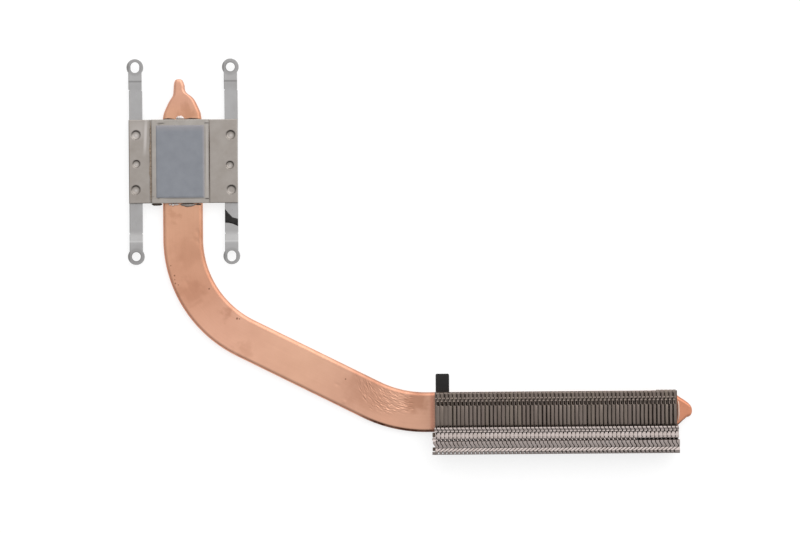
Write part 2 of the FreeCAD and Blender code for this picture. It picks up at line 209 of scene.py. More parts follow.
def softSurface(name, base, shade, roughness, grain, patch, specular=0.5):
    # Silicone, tape, ink or flux: no metal, matt, with a fine uneven skin.
    material, tree, shader = newMaterial(name)
    coords = addNode(tree, "ShaderNodeTexCoord")
    patches = addNode(tree, "ShaderNodeTexNoise", {"Scale": 1 / (patch * mm), "Detail": 4.0},
            {"Vector": coords.outputs["Object"]})
    amount = addNode(tree, "ShaderNodeMapRange", {"From Min": 0.35, "From Max": 0.7},
            {"Value": patches.outputs["Fac"]})
    colour = addNode(tree, "ShaderNodeMix", {"data_type": "RGBA", "A": hexToLinear(base),
            "B": hexToLinear(shade)}, {"Factor": amount.outputs[0]})
    fine = addNode(tree, "ShaderNodeTexNoise", {"Scale": 1 / (grain * mm), "Detail": 3.0},
            {"Vector": coords.outputs["Object"]})
    bump = addNode(tree, "ShaderNodeBump", {"Strength": 0.2, "Distance": bumpDepth},
            {"Height": fine.outputs["Fac"]})
    shader.inputs["Roughness"].default_value = roughness
    shader.inputs["Specular IOR Level"].default_value = specular
    tree.links.new(colour.outputs["Result"], shader.inputs["Base Color"])
    tree.links.new(bump.outputs[0], shader.inputs["Normal"])
    return material


# nickel plate on copper, soldered and browned by the heat: dull warm grey
plateFinish = sheetMetal("nickelPlatedCopper", "#afa8a2", "#9c938b", 0.38, 0.25, 4.0, wornAndShaded=True)
blockFinish = sheetMetal("milledNickelPlate", "#b6b0aa", "#a39b93", 0.34, 0.2, 3.0, wornAndShaded=True)
# solder: tin-rich, bright, slightly frosted where it set
solderFinish = sheetMetal("frostedSolder", "#f2eae8", "#cdbfb8", 0.36, 0.15, 1.0, metallic=0.4)
dullSolderFinish = sheetMetal("greySolder", "#aaa29c", "#8b837d", 0.42, 0.2, 0.8)
# copper wetted by solder: pale and pinkish
tinnedFinish = sheetMetal("tinnedCopper", "#dfbfae", "#cfa994", 0.36, 0.2, 0.8)
# polyester film: black and dull, with a low sheen
tapeFinish = softSurface("blackPolyesterTape", "#1b1a19", "#232120", 0.5, 0.35, 1.5, 0.3)
# painted shade, with some burnt flux: the feet and the walls inside the channels are dark,
# so the channels look dark from above
footShadeFinish = softSurface("fluxAndShadeFinFoot", "#6e6055", "#54483f", 0.7, 0.4, 1.5)
# flux that dried clear and dusty, and flux that burnt brown: both glassy and uneven
fluxFinish = softSurface("driedFlux", "#7d6a58", "#a89684", 0.5, 0.2, 0.5)
burntFinish = softSurface("burntFlux", "#3b2f27", "#56463a", 0.5, 0.2, 0.6)
# felt-pen ink: black and matt
inkFinish = softSurface("markerInk", "#1e1c1b", "#2b2928", 0.55, 0.2, 0.8, 0.25)
print("common finishes made")


# heat pipe

pipe = {
    "middleX": -0.35, "startY": 10.4, "firstEnd": -21.7, "bendOne": 31.2, "turn": 63.45,
    "slant": 39.25, "bendTwo": 34.8, "lastRun": 68.57, "half": 5.6,
    "top": -1.5, "bottom": -3.5, "topPoints": 96, "edgePoints": 9, "bottomPoints": 12,
    "step": 0.6, "plainStep": 2.0, "plainFrom": 10.0,  # from row to row, wider at the fins
    "tipRows": 60, "closedRows": 30,  # rows at the two ends
    "edgeShare": 0.92,  # the rounded edges take this share of the half width at most
    "hollow": 0.035, "hollowHalf": 5.0,  # the flattened top is slightly hollow
    # dents and handling marks: distance along and across (left positive), radius, depth
    "marks": [(30.2, 4.3, 0.8, -0.10), (33.0, 4.4, 0.7, -0.09), (32.0, 3.1, 0.5, -0.05),
              (44.0, -1.5, 0.6, -0.05), (95.6, -0.3, 0.45, -0.07), (99.5, -3.9, 0.6, 0.05),
              (20.6, -3.5, 0.7, -0.03), (108.0, 1.8, 1.6, 0.05), (112.0, -2.2, 1.9, -0.05),
              (5.0, 2.0, 3.0, -0.03), (60.0, 1.0, 4.0, -0.03), (80.0, -1.0, 5.0, 0.025)],
    # the marks end at the flat's borders and are pressed level under the plate and the fins
    "flatHalf": 4.6, "flatFade": 0.5, "plateHalf": 12.2, "finsFrom": 69.5,
}
# The creased patch inside the second bend: the arcs' common centre and its spread, their
# longest radius with the share of the shortest, angles and sizes, where they fade out to the
# south, and the tube's stretch with closer rows
wrinkle = {
    "x": 62.8, "y": -58.7, "spread": 1.5, "reach": 14.3, "shortest": 0.52,
    "angles": (186, 267), "long": (0.35, 0.95), "tall": (0.014, 0.042), "wide": (0.085, 0.13),
    "sway": 0.10, "waves": 1.9, "low": -71.7, "fade": 1.6, "count": 460, "seed": 41,
    "from": 31.0, "past": 4.0, "step": 0.11,
}
# half widths on the east and west of the centre line, and the half thickness, by the
# distance beyond the pipe's straight part
northTip = [
    (0.0, 5.60, 5.60, 1.00), (1.2, 5.52, 5.53, 1.00), (2.43, 5.32, 5.35, 1.00),
    (3.28, 5.21, 5.17, 1.00), (4.12, 4.88, 4.83, 0.99), (4.96, 4.52, 4.43, 0.98),
    (5.80, 4.13, 4.05, 0.97), (6.64, 3.72, 3.60, 0.96), (7.30, 3.28, 3.18, 0.95),
    (7.85, 2.78, 2.80, 0.94), (8.32, 2.18, 2.58, 0.93), (8.75, 1.55, 2.48, 0.92),
    (9.20, 1.12, 2.44, 0.91), (9.70, 0.86, 2.40, 0.90), (10.4, 0.77, 2.35, 0.90),
    (11.0, 0.76, 2.32, 0.90), (11.5, 0.62, 2.26, 0.90), (12.0, 0.42, 2.16, 0.88),
    (12.35, 0.24, 2.02, 0.84), (12.6, 0.10, 1.86, 0.78), (12.75, -0.08, 1.66, 0.68),
    (12.82, -0.30, 1.44, 0.52)]
eastTip = [
    (0.0, 5.60, 5.60, 1.00), (1.0, 4.95, 5.00, 1.00), (2.3, 3.92, 3.98, 0.99),
    (3.4, 3.22, 2.92, 0.96), (4.5, 2.45, 2.00, 0.93), (5.2, 1.86, 1.78, 0.88),
    (5.6, 1.44, 1.50, 0.80), (5.85, 1.02, 1.15, 0.66), (6.0, 0.60, 0.75, 0.45)]

copper = {
    "lead": 13.0, "length": 212.0,  # millimetres before the straight part, and in all
    # tone along the tube, north tip to closed end, by the share of that length
    "tones": [
        (0.005, "#e6b096"), (0.03, "#e3ae94"), (0.06, "#e4ae8d"), (0.168, "#e3af91"),
        (0.278, "#e4ab8e"), (0.344, "#f3bca1"), (0.46, "#f6c2a5"), (0.533, "#e6b298"),
        (0.58, "#e9b499"), (0.6412, "#e2b096"), (0.6424, "#cc7e6b"), (0.6438, "#cc7e6b"),
        (0.6450, "#dcaa92"), (0.93, "#efaa8b"), (0.985, "#da9576")],
    "patch": 9.0, "ragged": 2.4, "push": 9.0, "speckle": 0.45,  # sizes of the uneven parts
    # brown stains: millimetres along and across, radius, amount
    "stains": [(119.0, 2.9, 4.6, 0.55), (104.0, 2.4, 8.0, 0.34), (36.0, 2.0, 7.0, 0.26),
               (47.0, -1.0, 5.0, 0.30), (-3.0, 1.0, 4.0, 0.34), (58.0, 2.8, 2.6, 0.40),
               (25.5, -2.0, 2.6, 0.30), (68.0, -2.5, 3.5, 0.24)],
    # rubbed-in dirt specks: millimetres along and across, radius
    "specks": [(41.3, -3.9, 0.28), (42.3, -4.2, 0.2), (43.2, -4.4, 0.26), (43.8, -3.8, 0.2),
               (38.7, -4.2, 0.2), (48.6, 3.5, 0.32), (61.6, 3.6, 0.42), (62.3, 3.9, 0.26),
               (97.0, 2.1, 0.26)],
    # painted shade on the rounded edges: duller on the inner side of the bends, which faces the
    # light, browner on the outer side, away from it, and near black there on the last stretch
    # before the fins: from and to across, from and to along, colour, amount
    "edges": [(4.5, 4.9, -20, -13, "#e7dad4", 0.85), (-4.95, -5.3, -20, -13, "#e5c5bc", 0.80),
              (-4.7, -5.0, 104, 109, "#594538", 1.0)],
    # drawing lines: 0.25 mm apart on the real tube, 0.35 mm here so that they show
    "lineGap": 0.35, "lineLength": 14.0,
}


def drawnCopper():
    # Copper tube, drawn, flattened and lightly tarnished: soft pinkish mirror with faint
    # lines along the tube and browner patches where flux and hands have been, and painted
    # shade on its rounded edges.
    material, tree, shader = newMaterial("drawnCopper")
    along = addNode(tree, "ShaderNodeAttribute", {"attribute_name": "alongPipe"})
    split = addNode(tree, "ShaderNodeSeparateXYZ", links={0: along.outputs["Vector"]})
    coords = addNode(tree, "ShaderNodeTexCoord")
    share = addNode(tree, "ShaderNodeMath", {"operation": "MULTIPLY_ADD", 1: 1 / copper["length"],
            2: copper["lead"] / copper["length"]}, {0: split.outputs["X"]})
    tones = addNode(tree, "ShaderNodeValToRGB", {"stops": copper["tones"]}, {0: share.outputs[0]})
    patches = addNode(tree, "ShaderNodeTexNoise", {"Scale": 1 / (copper["patch"] * mm),
            "Detail": 5.0, "Roughness": 0.6}, {"Vector": coords.outputs["Object"]})
    tone = shadeBetween(tree, tones.outputs["Color"], patches.outputs["Fac"], 0.35, 0.70,
            "#dacec8", 0.30, "MULTIPLY")
    wander = addNode(tree, "ShaderNodeTexNoise", {"Scale": 1 / (copper["ragged"] * mm),
            "Detail": 4.0}, {"Vector": coords.outputs["Object"]})
    push = copper["push"]
    pushed = addNode(tree, "ShaderNodeVectorMath", {"operation": "MULTIPLY_ADD",
            1: (push, push, 0.0)}, {0: wander.outputs["Color"], 2: along.outputs["Vector"]})
    for s, v, radius, most in copper["stains"]:
        away = addNode(tree, "ShaderNodeVectorMath", {"operation": "DISTANCE",
                1: (s + push / 2, v + push / 2, 0.0)}, {0: pushed.outputs["Vector"]})
        tone = shadeBetween(tree, tone, away.outputs["Value"], radius, radius * 0.2, "#cebcb1",
                most, "MULTIPLY", "SMOOTHSTEP")
    for s, v, radius in copper["specks"]:
        away = addNode(tree, "ShaderNodeVectorMath", {"operation": "DISTANCE", 1: (s, v, 0.0)},
                {0: along.outputs["Vector"]})
        tone = shadeBetween(tree, tone, away.outputs["Value"], radius, radius * 0.5, "#6b4030",
                0.7)
    uneven = addNode(tree, "ShaderNodeMapRange", {"From Min": 0.35, "From Max": 0.65,
            "To Min": 0.6}, {"Value": wander.outputs["Fac"]})
    # painted shade on the rounded edges, uneven along them
    for start, end, first, last, shade, most in copper["edges"]:
        amount = uneven
        for axis, low, high in (("Y", start, end), ("X", first, last)):
            within = addNode(tree, "ShaderNodeMapRange", {"From Min": low, "From Max": high},
                    {"Value": split.outputs[axis]})
            amount = addNode(tree, "ShaderNodeMath", {"operation": "MULTIPLY"},
                    {0: amount.outputs[0], 1: within.outputs[0]})
        tone = shadeBetween(tree, tone, amount.outputs[0], 0.0, 1.0, shade, most, "MULTIPLY")
    lineMap = addNode(tree, "ShaderNodeMapping", {"Scale": (1 / copper["lineLength"],
            1 / copper["lineGap"], 1.0)}, {"Vector": along.outputs["Vector"]})
    drawing = addNode(tree, "ShaderNodeTexNoise", {"Scale": 1.0, "Detail": 3.0},
            {"Vector": lineMap.outputs[0]})
    tone = shadeBetween(tree, tone, drawing.outputs["Fac"], 0.30, 0.75, "#e5ddd7", 0.16,
            "MULTIPLY")
    speckle = addNode(tree, "ShaderNodeTexNoise", {"Scale": 1 / (copper["speckle"] * mm),
            "Detail": 4.0, "Roughness": 0.7}, {"Vector": coords.outputs["Object"]})
    rough = addNode(tree, "ShaderNodeMapRange", {"From Min": 0.3, "From Max": 0.7, "To Min": 0.30,
            "To Max": 0.44}, {"Value": speckle.outputs["Fac"]})
    lines = addNode(tree, "ShaderNodeBump", {"Strength": 0.12, "Distance": bumpDepth},
            {"Height": drawing.outputs["Fac"]})
    skin = addNode(tree, "ShaderNodeBump", {"Strength": 0.10, "Distance": bumpDepth},
            {"Height": speckle.outputs["Fac"], "Normal": lines.outputs[0]})
    shader.inputs["Metallic"].default_value = 1.0
    tree.links.new(tone, shader.inputs["Base Color"])
    tree.links.new(rough.outputs[0], shader.inputs["Roughness"])
    tree.links.new(skin.outputs[0], shader.inputs["Normal"])
    return material


copperFinish = drawnCopper()

pipeRuns = {}  # where each run starts, and how long it is
pipeLength = 0.0
for runName, runLength in (
        ("first", pipe["startY"] - pipe["firstEnd"]),
        ("bendOne", pipe["bendOne"] * math.radians(pipe["turn"])),
        ("slant", pipe["slant"]),
        ("bendTwo", pipe["bendTwo"] * math.radians(90 - pipe["turn"])),
        ("last", pipe["lastRun"])):
    pipeRuns[runName] = (pipeLength, runLength)
    pipeLength += runLength


def pipeCentre(s):
    # centre line point and heading at s millimetres from the north end of the straight part
    if s <= pipeRuns["first"][1]:
        return pipe["middleX"], pipe["startY"] - s, 0.0, -1.0
    turn = math.radians(pipe["turn"])
    middle = (pipe["middleX"] + pipe["bendOne"], pipe["firstEnd"])
    start, length = pipeRuns["bendOne"]
    angle = min((s - start) / pipe["bendOne"], turn)
    x = middle[0] - pipe["bendOne"] * math.cos(angle)
    y = middle[1] - pipe["bendOne"] * math.sin(angle)
    heading = (math.sin(angle), -math.cos(angle))
    if s <= start + length:
        return x, y, *heading
    start, length = pipeRuns["slant"]
    step = min(s - start, length)
    x += heading[0] * step
    y += heading[1] * step
    if s <= start + length:
        return x, y, *heading
    start, length = pipeRuns["bendTwo"]
    radius = pipe["bendTwo"]
    swing = min((s - start) / radius, math.pi / 2 - turn)
    centreX = x - heading[1] * radius
    centreY = y + heading[0] * radius
    final = turn + swing
    x = centreX - radius * math.cos(final)
    y = centreY - radius * math.sin(final)
    if s <= start + length:
        return x, y, math.sin(final), -math.cos(final)
    return x + s - pipeRuns["last"][0], y, 1.0, 0.0


def pipeStations():
    # closer where the tube is wrinkled or pinched
    stations = [-step for step in np.linspace(northTip[-1][0], 0.25, pipe["tipRows"])]
    s = 0.0
    closeFrom = pipeRuns["slant"][0] + wrinkle["from"]
    closeTo = pipeRuns["last"][0] + wrinkle["past"]
    plainFrom = pipeRuns["last"][0] + pipe["plainFrom"]
    while s < pipeLength:
        stations.append(s)
        if closeFrom <= s < closeTo:
            s += wrinkle["step"]
        else:
            s += pipe["plainStep"] if s > plainFrom else pipe["step"]
    stations += [pipeLength + step
            for step in np.linspace(0.0, eastTip[-1][0], pipe["closedRows"])]
    return stations


def strandField(x, y):
    # fine creases on the inside of the second bend, where the wall was pushed together:
    # short arcs that all curve round one point beyond the inner edge
    draw = random.Random(wrinkle["seed"])
    spread = wrinkle["spread"]
    height = np.zeros_like(x)
    for _ in range(wrinkle["count"]):
        centreX = wrinkle["x"] + draw.uniform(-spread, spread)
        centreY = wrinkle["y"] + draw.uniform(-spread, spread)
        radius = wrinkle["reach"] * draw.uniform(wrinkle["shortest"], 1.0)
        angle = math.radians(draw.uniform(*wrinkle["angles"]))
        span = draw.uniform(*wrinkle["long"]) / radius
        tall = draw.choice((-1, 1)) * draw.uniform(*wrinkle["tall"])
        wide = draw.uniform(*wrinkle["wide"])
        wave = draw.uniform(0, 6.28)  # any part of a turn
        away = np.hypot(x - centreX, y - centreY)
        turn = np.arctan2(y - centreY, x - centreX) % (2 * math.pi) - angle
        sway = wrinkle["sway"] * np.sin(turn * radius * wrinkle["waves"] + wave)
        height += tall * np.exp(-((away - radius - sway) / wide) ** 2 - (turn / span) ** 4)
    # they fade towards the outer side of the bend
    return height * np.clip((y - wrinkle["low"]) / wrinkle["fade"], 0, 1)


def pipeRelief(along, across, x, y):
    # creases, dents and handling marks
    height = strandField(x, y)
    for s, v, radius, depth in pipe["marks"]:
        height += depth * np.exp(-((along - s) ** 2 + (across - v) ** 2) / radius ** 2)
    # long shallow hollow left by flattening
    inHollow = np.clip(across / pipe["hollowHalf"], -1, 1)
    return height - pipe["hollow"] * np.cos(inHollow * math.pi / 2)


def heatPipe():
    topCount, edgeCount, lowCount = pipe["topPoints"], pipe["edgePoints"], pipe["bottomPoints"]
    middle = (pipe["top"] + pipe["bottom"]) / 2
    edgeTurns = [math.pi / 2 - math.pi * i / (edgeCount + 1) for i in range(1, edgeCount + 1)]
    points, alongList, acrossList, shareList, reliefMask = [], [], [], [], []
    for s in pipeStations():
        left = right = pipe["half"]
        half = (pipe["top"] - pipe["bottom"]) / 2
        if s < 0:
            left, right, half = between(northTip, -s)
        elif s > pipeLength:
            left, right, half = between(eastTip, s - pipeLength)
        x, y, headX, headY = pipeCentre(s)
        sideX, sideY = -headY, headX  # towards the left of the heading
        edge = min(half, (left + right) / 2 * pipe["edgeShare"])
        flat = left + right - 2 * edge  # between the two rounded edges
        # across, up, and 1 where the relief shows
        section = [(edge - right + flat * i / (topCount - 1), half, 1.0) for i in range(topCount)]
        section += [(left - edge + edge * math.cos(angle), half * math.sin(angle), 0.0)
                for angle in edgeTurns]
        section += [(left - edge - flat * i / (lowCount - 1), -half, 0.0)
                for i in range(lowCount)]
        section += [(edge - right - edge * math.cos(angle), -half * math.sin(angle), 0.0)
                for angle in edgeTurns]
        for across, up, mask in section:
            points.append([x + sideX * across, y + sideY * across, middle + up])
            alongList.append(s)
            acrossList.append(across)
            shareList.append(across * pipe["half"] / (left if across > 0 else right))
            reliefMask.append(mask * min(half, 1.0) ** 6)  # none where the tube thins out
    along, across = np.array(alongList), np.array(acrossList)
    positions = np.array(points)
    relief = pipeRelief(along, across, positions[:, 0], positions[:, 1])
    relief *= np.array(reliefMask)
    # hollows reach a little further over the rounded edges than raised marks do
    fade = np.clip((pipe["flatHalf"] - np.abs(across)) / pipe["flatFade"], 0, 1)
    relief = np.where(relief > 0, relief * fade, relief * np.clip(fade + 0.5, 0, 1))
    under = positions[:, 0] > pipe["finsFrom"]
    under |= np.abs(positions[:, 1]) < pipe["plateHalf"]
    relief = np.where(under, np.minimum(relief, 0), relief)
    positions[:, 2] += relief
    count = topCount + 2 * edgeCount + lowCount
    loops = [positions[k:k + count].tolist() for k in range(0, len(positions), count)]
    meshPoints, faces = loftLoops(loops)
    piece = makePiece("heatPipe", meshPoints, faces, copperFinish, replaced=["heat_pipe"],
            slotName="copper")
    setPointField(piece, "alongPipe", along, shareList)
    sharpenEdges(piece, 50)


heatPipe()
print("heat pipe made")


# plate, block and pad

def gridLines(low, high, step, edge):
    # even lines with closer ones along both borders, for the rounded edge
    near = [0.0, edge * 0.12, edge * 0.35, edge * 0.65, edge]
    inner = np.linspace(low + edge, high - edge, max(2, round((high - low) / step)))[1:-1]
    return [low + n for n in near] + inner.tolist() + [high - n for n in reversed(near)]


def reliefSheet(name, box, step, edge, heightAt, finish, replaced, slotName, wearAndShadeAt=None):
    # a sheet whose upper face follows heightAt(x, y), with rounded upper edges; the wear
    # function gives at (x, y) the amounts of grime and painted shade, and of rubbing and painted
    # highlights
    (left, low, bottom), (right, high, top) = box
    xs = gridLines(left, right, step, edge)
    ys = gridLines(low, high, step, edge)
    points, faces = [], []
    deep = edge * 0.8  # the rounding is a little lower than wide
    for y in ys:
        for x in xs:
            border = min(x - left, right - x, y - low, high - y, edge)
            rounding = deep * (1 - math.sqrt(1 - (1 - border / edge) ** 2))
            points.append((x, y, top - rounding + heightAt(x, y)))
    wide, tall = len(xs), len(ys)
    for j in range(tall - 1):
        for i in range(wide - 1):
            a = j * wide + i
            faces.append((a, a + 1, a + wide + 1, a + wide))
    rim = list(range(wide)) + [j * wide + wide - 1 for j in range(1, tall)]
    rim += [(tall - 1) * wide + i for i in range(wide - 2, -1, -1)]
    rim += [j * wide for j in range(tall - 2, 0, -1)]
    first = len(points)
    points += [(points[index][0], points[index][1], bottom) for index in rim]
    for k in range(len(rim)):
        n = (k + 1) % len(rim)
        faces.append((rim[k], first + k, first + n, rim[n]))
    faces.append(tuple(reversed(range(first, first + len(rim)))))
    piece = makePiece(name, points, faces, finish, replaced=replaced, slotName=slotName)
    if wearAndShadeAt:
        wear = [wearAndShadeAt(x, y) for x, y, _ in points[:first]] + [(0, 0)] * len(rim)
        setPointField(piece, "wear", *zip(*wear))
    sharpenEdges(piece)


def marked(marks, x, y):
    # soft-edged patches and lines: middle x and y, half length, half height, amount
    return sum(amount * math.exp(-((x - middleX) / halfX) ** 4 - ((y - middleY) / halfY) ** 4)
            for middleX, middleY, halfX, halfY, amount in marks)


plate = {
    "box": ((-15.22, -11.62, -1.5), (15.25, 11.78, -0.7)), "edge": 0.16, "step": 0.14,
    # spot weld dimples: x, y, radius, depth
    "dimples": [(-13.15, 7.52, 1.30, 0.42), (-13.10, -0.58, 1.08, 0.40),
                (-13.30, -7.85, 1.30, 0.42), (13.35, 7.40, 1.30, 0.42),
                (13.10, -1.05, 1.12, 0.40), (13.45, -7.95, 1.32, 0.40)],
    "dimpleReach": 1.6,  # how far a mark is felt, in its own radius
    "rim": (0.03, 1.12, 0.16),  # raised ring: height, distance and width in that radius
    "sag": 0.01, "sagLength": 15.35,
    # painted shade along the edges, and lighter places, rubbed ones and painted highlights:
    # x, y, half length, half height, amount
    "darkened": [(-15.25, 0, 0.24, 13, 0.55), (0, -11.66, 16, 0.2, 0.5),
              (15.35, 0, 0.15, 13, 0.2)],
    "rubbedAndHighlit": [(-12.6, 8.6, 2.2, 2.6, 0.22)],
    # an uneven darker band beside the block, and a rubbed line that leans
    "besideBlock": (-9.15, 0, 0.32, 13, 1), "leaning": (-10.5, 7.2, 0.42, 4.6, 0.55),
}
# painted highlights: a lighter spot just below the middle of each weld mark but the last, on its
# lit lower wall
plate["rubbedAndHighlit"] += [(x, y - 0.15, 0.34 * radius, 0.28 * radius, 0.55)
        for x, y, radius, _ in plate["dimples"][:-1]]


def plateHeight(x, y):
    height = 0.0
    rimHeight, rimAt, rimWidth = plate["rim"]
    for middleX, middleY, radius, depth in plate["dimples"]:
        away = math.hypot(x - middleX, y - middleY) / radius
        if away < plate["dimpleReach"]:
            # bowl with a low rim round it
            height -= depth * max(0.0, 1 - away ** 5) * (0.86 + 0.14 * away * away)
            height += rimHeight * math.exp(-((away - rimAt) / rimWidth) ** 2)
    # slight sag of the wings between the welds
    height -= plate["sag"] * (1 - math.cos(2 * math.pi * x / plate["sagLength"]))
    return min(height, 0.0)


def plateWearAndShade(x, y):
    # painted shade in the upper half of each weld mark, where its wall faces away from the light,
    # and along the edges; an uneven darker band beside the block; then rubbed places and
    # painted highlights
    grimeAndShade = 0.0
    for middleX, middleY, radius, _ in plate["dimples"]:
        away = math.hypot(x - middleX, y - middleY) / radius
        if away < plate["dimpleReach"]:
            upward = max(0.0, (y - middleY) / (radius * max(away, 0.2)))
            ring = math.exp(-((away - 0.90) / 0.17) ** 2)
            grimeAndShade = max(grimeAndShade, ring * (0.30 + 0.62 * upward ** 0.8))
    uneven = 0.5 + 0.3 * math.sin(y * 1.7) + 0.2 * math.sin(y * 4.3 + 1)
    grimeAndShade += marked(plate["darkened"], x, y)
    grimeAndShade += (0.25 + 0.35 * uneven) * marked([plate["besideBlock"]], x, y)
    rubbedAndHighlit = marked(plate["rubbedAndHighlit"], x, y)
    rubbedAndHighlit += marked([plate["leaning"]], x - 0.05 * (y - 7), y)
    return min(grimeAndShade, 0.92), min(rubbedAndHighlit, 0.8)


reliefSheet("mountingPlate", plate["box"], plate["step"], plate["edge"], plateHeight, plateFinish,
        ["mounting_plate"], "plated_plate", plateWearAndShade)

block = {
    "box": ((-8.8, -11.66, -0.7), (7.3, 11.8, -0.2)), "edge": 0.14, "step": 0.17,
    # small dark marks round the pad, and painted shade in lines along the block's right and
    # left edges: x, y, half length, half height, amount
    "marks": [(-6.1, 10.72, 1.0, 0.12, 0.75), (-6.6, 10.28, 0.45, 0.1, 0.5),
              (6.65, 10.75, 0.6, 0.2, 0.6), (-0.1, -10.32, 6.9, 0.11, 0.6),
              (-6.9, -10.15, 0.3, 0.3, 0.4), (-8.4, -9.8, 0.3, 0.12, 0.5),
              (6.75, -10.45, 0.55, 0.18, 0.65), (7.2, 0.0, 0.1, 12.5, 0.35),
              (-8.65, 0.0, 0.12, 12.5, 0.3), (6.25, 3.0, 0.12, 7.6, 0.25)],
    # painted highlight: a lighter band on the block's right side, where it faces the light
    "rubbedAndHighlit": [(6.75, 0, 0.35, 10, 0.25)],
}


def blockHeight(x, y):
    return -0.012 * (1 - math.cos(x * 0.9)) - 0.01 * (1 - math.cos(y * 0.7))


def blockWearAndShade(x, y):
    return min(marked(block["marks"], x, y), 0.9), marked(block["rubbedAndHighlit"], x, y)


reliefSheet("contactBlock", block["box"], block["step"], block["edge"], blockHeight, blockFinish,
        ["contact_block"], "plated_plate", blockWearAndShade)

pad = {
    "box": ((-7.5, -10.15, -0.2), (6.0, 10.15, 0.0)), "edge": 0.42, "step": 0.35,
    # painted highlight on the borders that face the light
    "pressed": [("Y", 8.3, 10.1), ("X", 5.4, 5.9)],  # paler borders: axis, from and to
}


def thermalPad():
    # Silicone sheet filled with ceramic powder: matt blue-grey, with painted highlight: its
    # upper and right borders, which face the light, are paler.
    material = softSurface("siliconeThermalPad", "#8b8e95", "#84878e", 0.72, 0.2, 3.0)
    tree, baseColour, tone, place = openTone(material)
    for axis, start, end in pad["pressed"]:
        tone = shadeBetween(tree, tone, place[axis], start * mm, end * mm, "#a39da0", 0.6)
    tree.links.new(tone, baseColour)
    return material


def padHeight(x, y):
    # soft skin, a little thinner where it was pressed
    wave = 0.012 * math.sin(x * 0.8 + 0.6 * math.sin(y * 0.5)) * math.cos(y * 0.6)
    return min(0.0, wave - 0.012)


reliefSheet("thermalPad", pad["box"], pad["step"], pad["edge"], padHeight, thermalPad(),
        ["thermal_pad"], "thermal_pad")
print("plate, block and pad made")


# spring arms

arm = {
    "x": 13.38, "half": 1.86, "eyeY": 26.5, "eyeRadius": 2.35, "hole": 1.25, "slot": 0.5,
    "low": -1.7, "rise": 0.3, "rampStart": 19.9, "rampEnd": 22.45, "thick": 0.4,
    "softStart": 0.25, "softEnd": 0.15,  # the ramp begins and ends this much further out
    "edge": 0.06, "lean": 0.1, "leanTo": 20.2, "slopeStart": 12.2, "slopeShare": 0.5,
    "nick": 0.18, "nickY": 20.1, "nickHalf": 0.25, "neck": 0.35,
    "eyeSteps": 40, "holeSteps": 48, "rampRows": 15,
    # shades of the steel, as colour and amount. Rings round each eye: the distances where
    # they begin and where they are full. The left edge, painted shade on the side away from the
    # light: the same, in the coordinate that both strips share. The bends, painted shade and
    # painted highlight: their height and reach, dark on the upper ones, light with a light slope
    # on the lower ones.
    "shadeX": 13.35, "apart": 26.7,
    "rings": [(1.60, 1.30, "#4a4846", 0.50), (2.60, 2.00, "#8b8988", 0.35)],
    "leftEdgeShade": (11.76, 11.50, "#4a4846", 0.35),
    "bends": [(22.55, 0.34, "#4a4745", 0.42), (-22.3, 0.34, "#e6e5e4", 0.40),
              (-21.3, 2.00, "#e6e5e4", 0.25)],
}


def springSteel():
    # Tempered strip steel, ground: cool grey with fine lines along the strip, darker round
    # the eyes, with painted shade along the left edge and the two bends painted as lines across.
    material = sheetMetal("groundSpringSteel", "#b8b7b7", "#a9a6a5", 0.33, 0.25, 5.0,
            lines=(1.0, 0.08, 1.0))
    tree, baseColour, tone, place = openTone(material)
    # all four eyes folded on one
    sideways, endways = (addNode(tree, "ShaderNodeMath", {"operation": "ABSOLUTE"},
            {0: place[axis]}) for axis in "XY")
    folded = addNode(tree, "ShaderNodeCombineXYZ", links={"X": sideways.outputs[0],
            "Y": endways.outputs[0]})
    away = addNode(tree, "ShaderNodeVectorMath", {"operation": "DISTANCE",
            1: (arm["shadeX"] * mm, arm["eyeY"] * mm, 0.0)}, {0: folded.outputs[0]})
    # painted shade: both strips share one coordinate across, so that both get it on their left
    # edge
    across = addNode(tree, "ShaderNodeMath", {"operation": "ADD", 1: arm["apart"] * mm},
            {0: place["X"]})
    across = addNode(tree, "ShaderNodeMath", {"operation": "MODULO", 1: arm["apart"] * mm},
            {0: across.outputs[0]})
    shades = [(away.outputs["Value"], *ring) for ring in arm["rings"]]
    shades.append((across.outputs[0], *arm["leftEdgeShade"]))
    # painted shade and painted highlight: a dark line at the upper bends, light ones at the lower
    for middle, reach, shade, most in arm["bends"]:
        off = addNode(tree, "ShaderNodeMath", {"operation": "SUBTRACT", 1: middle * mm},
                {0: place["Y"]})
        off = addNode(tree, "ShaderNodeMath", {"operation": "ABSOLUTE"}, {0: off.outputs[0]})
        shades.append((off.outputs[0], reach, reach / 3, shade, most))
    for source, nothing, full, shade, most in shades:
        tone = shadeBetween(tree, tone, source, nothing * mm, full * mm, shade, most)
    tree.links.new(tone, baseColour)
    return material


steelFinish = springSteel()


def armHeight(y):
    # the strip leaves the plate at a slight slope, then steps up to the eyes
    slope = min(max((abs(y) - arm["slopeStart"]) / (arm["rampStart"] - arm["slopeStart"]), 0), 1)
    step = smoothStep(arm["rampStart"] - arm["softStart"], arm["rampEnd"] + arm["softEnd"], abs(y))
    return arm["rise"] * (arm["slopeShare"] * slope + (1 - arm["slopeShare"]) * step)


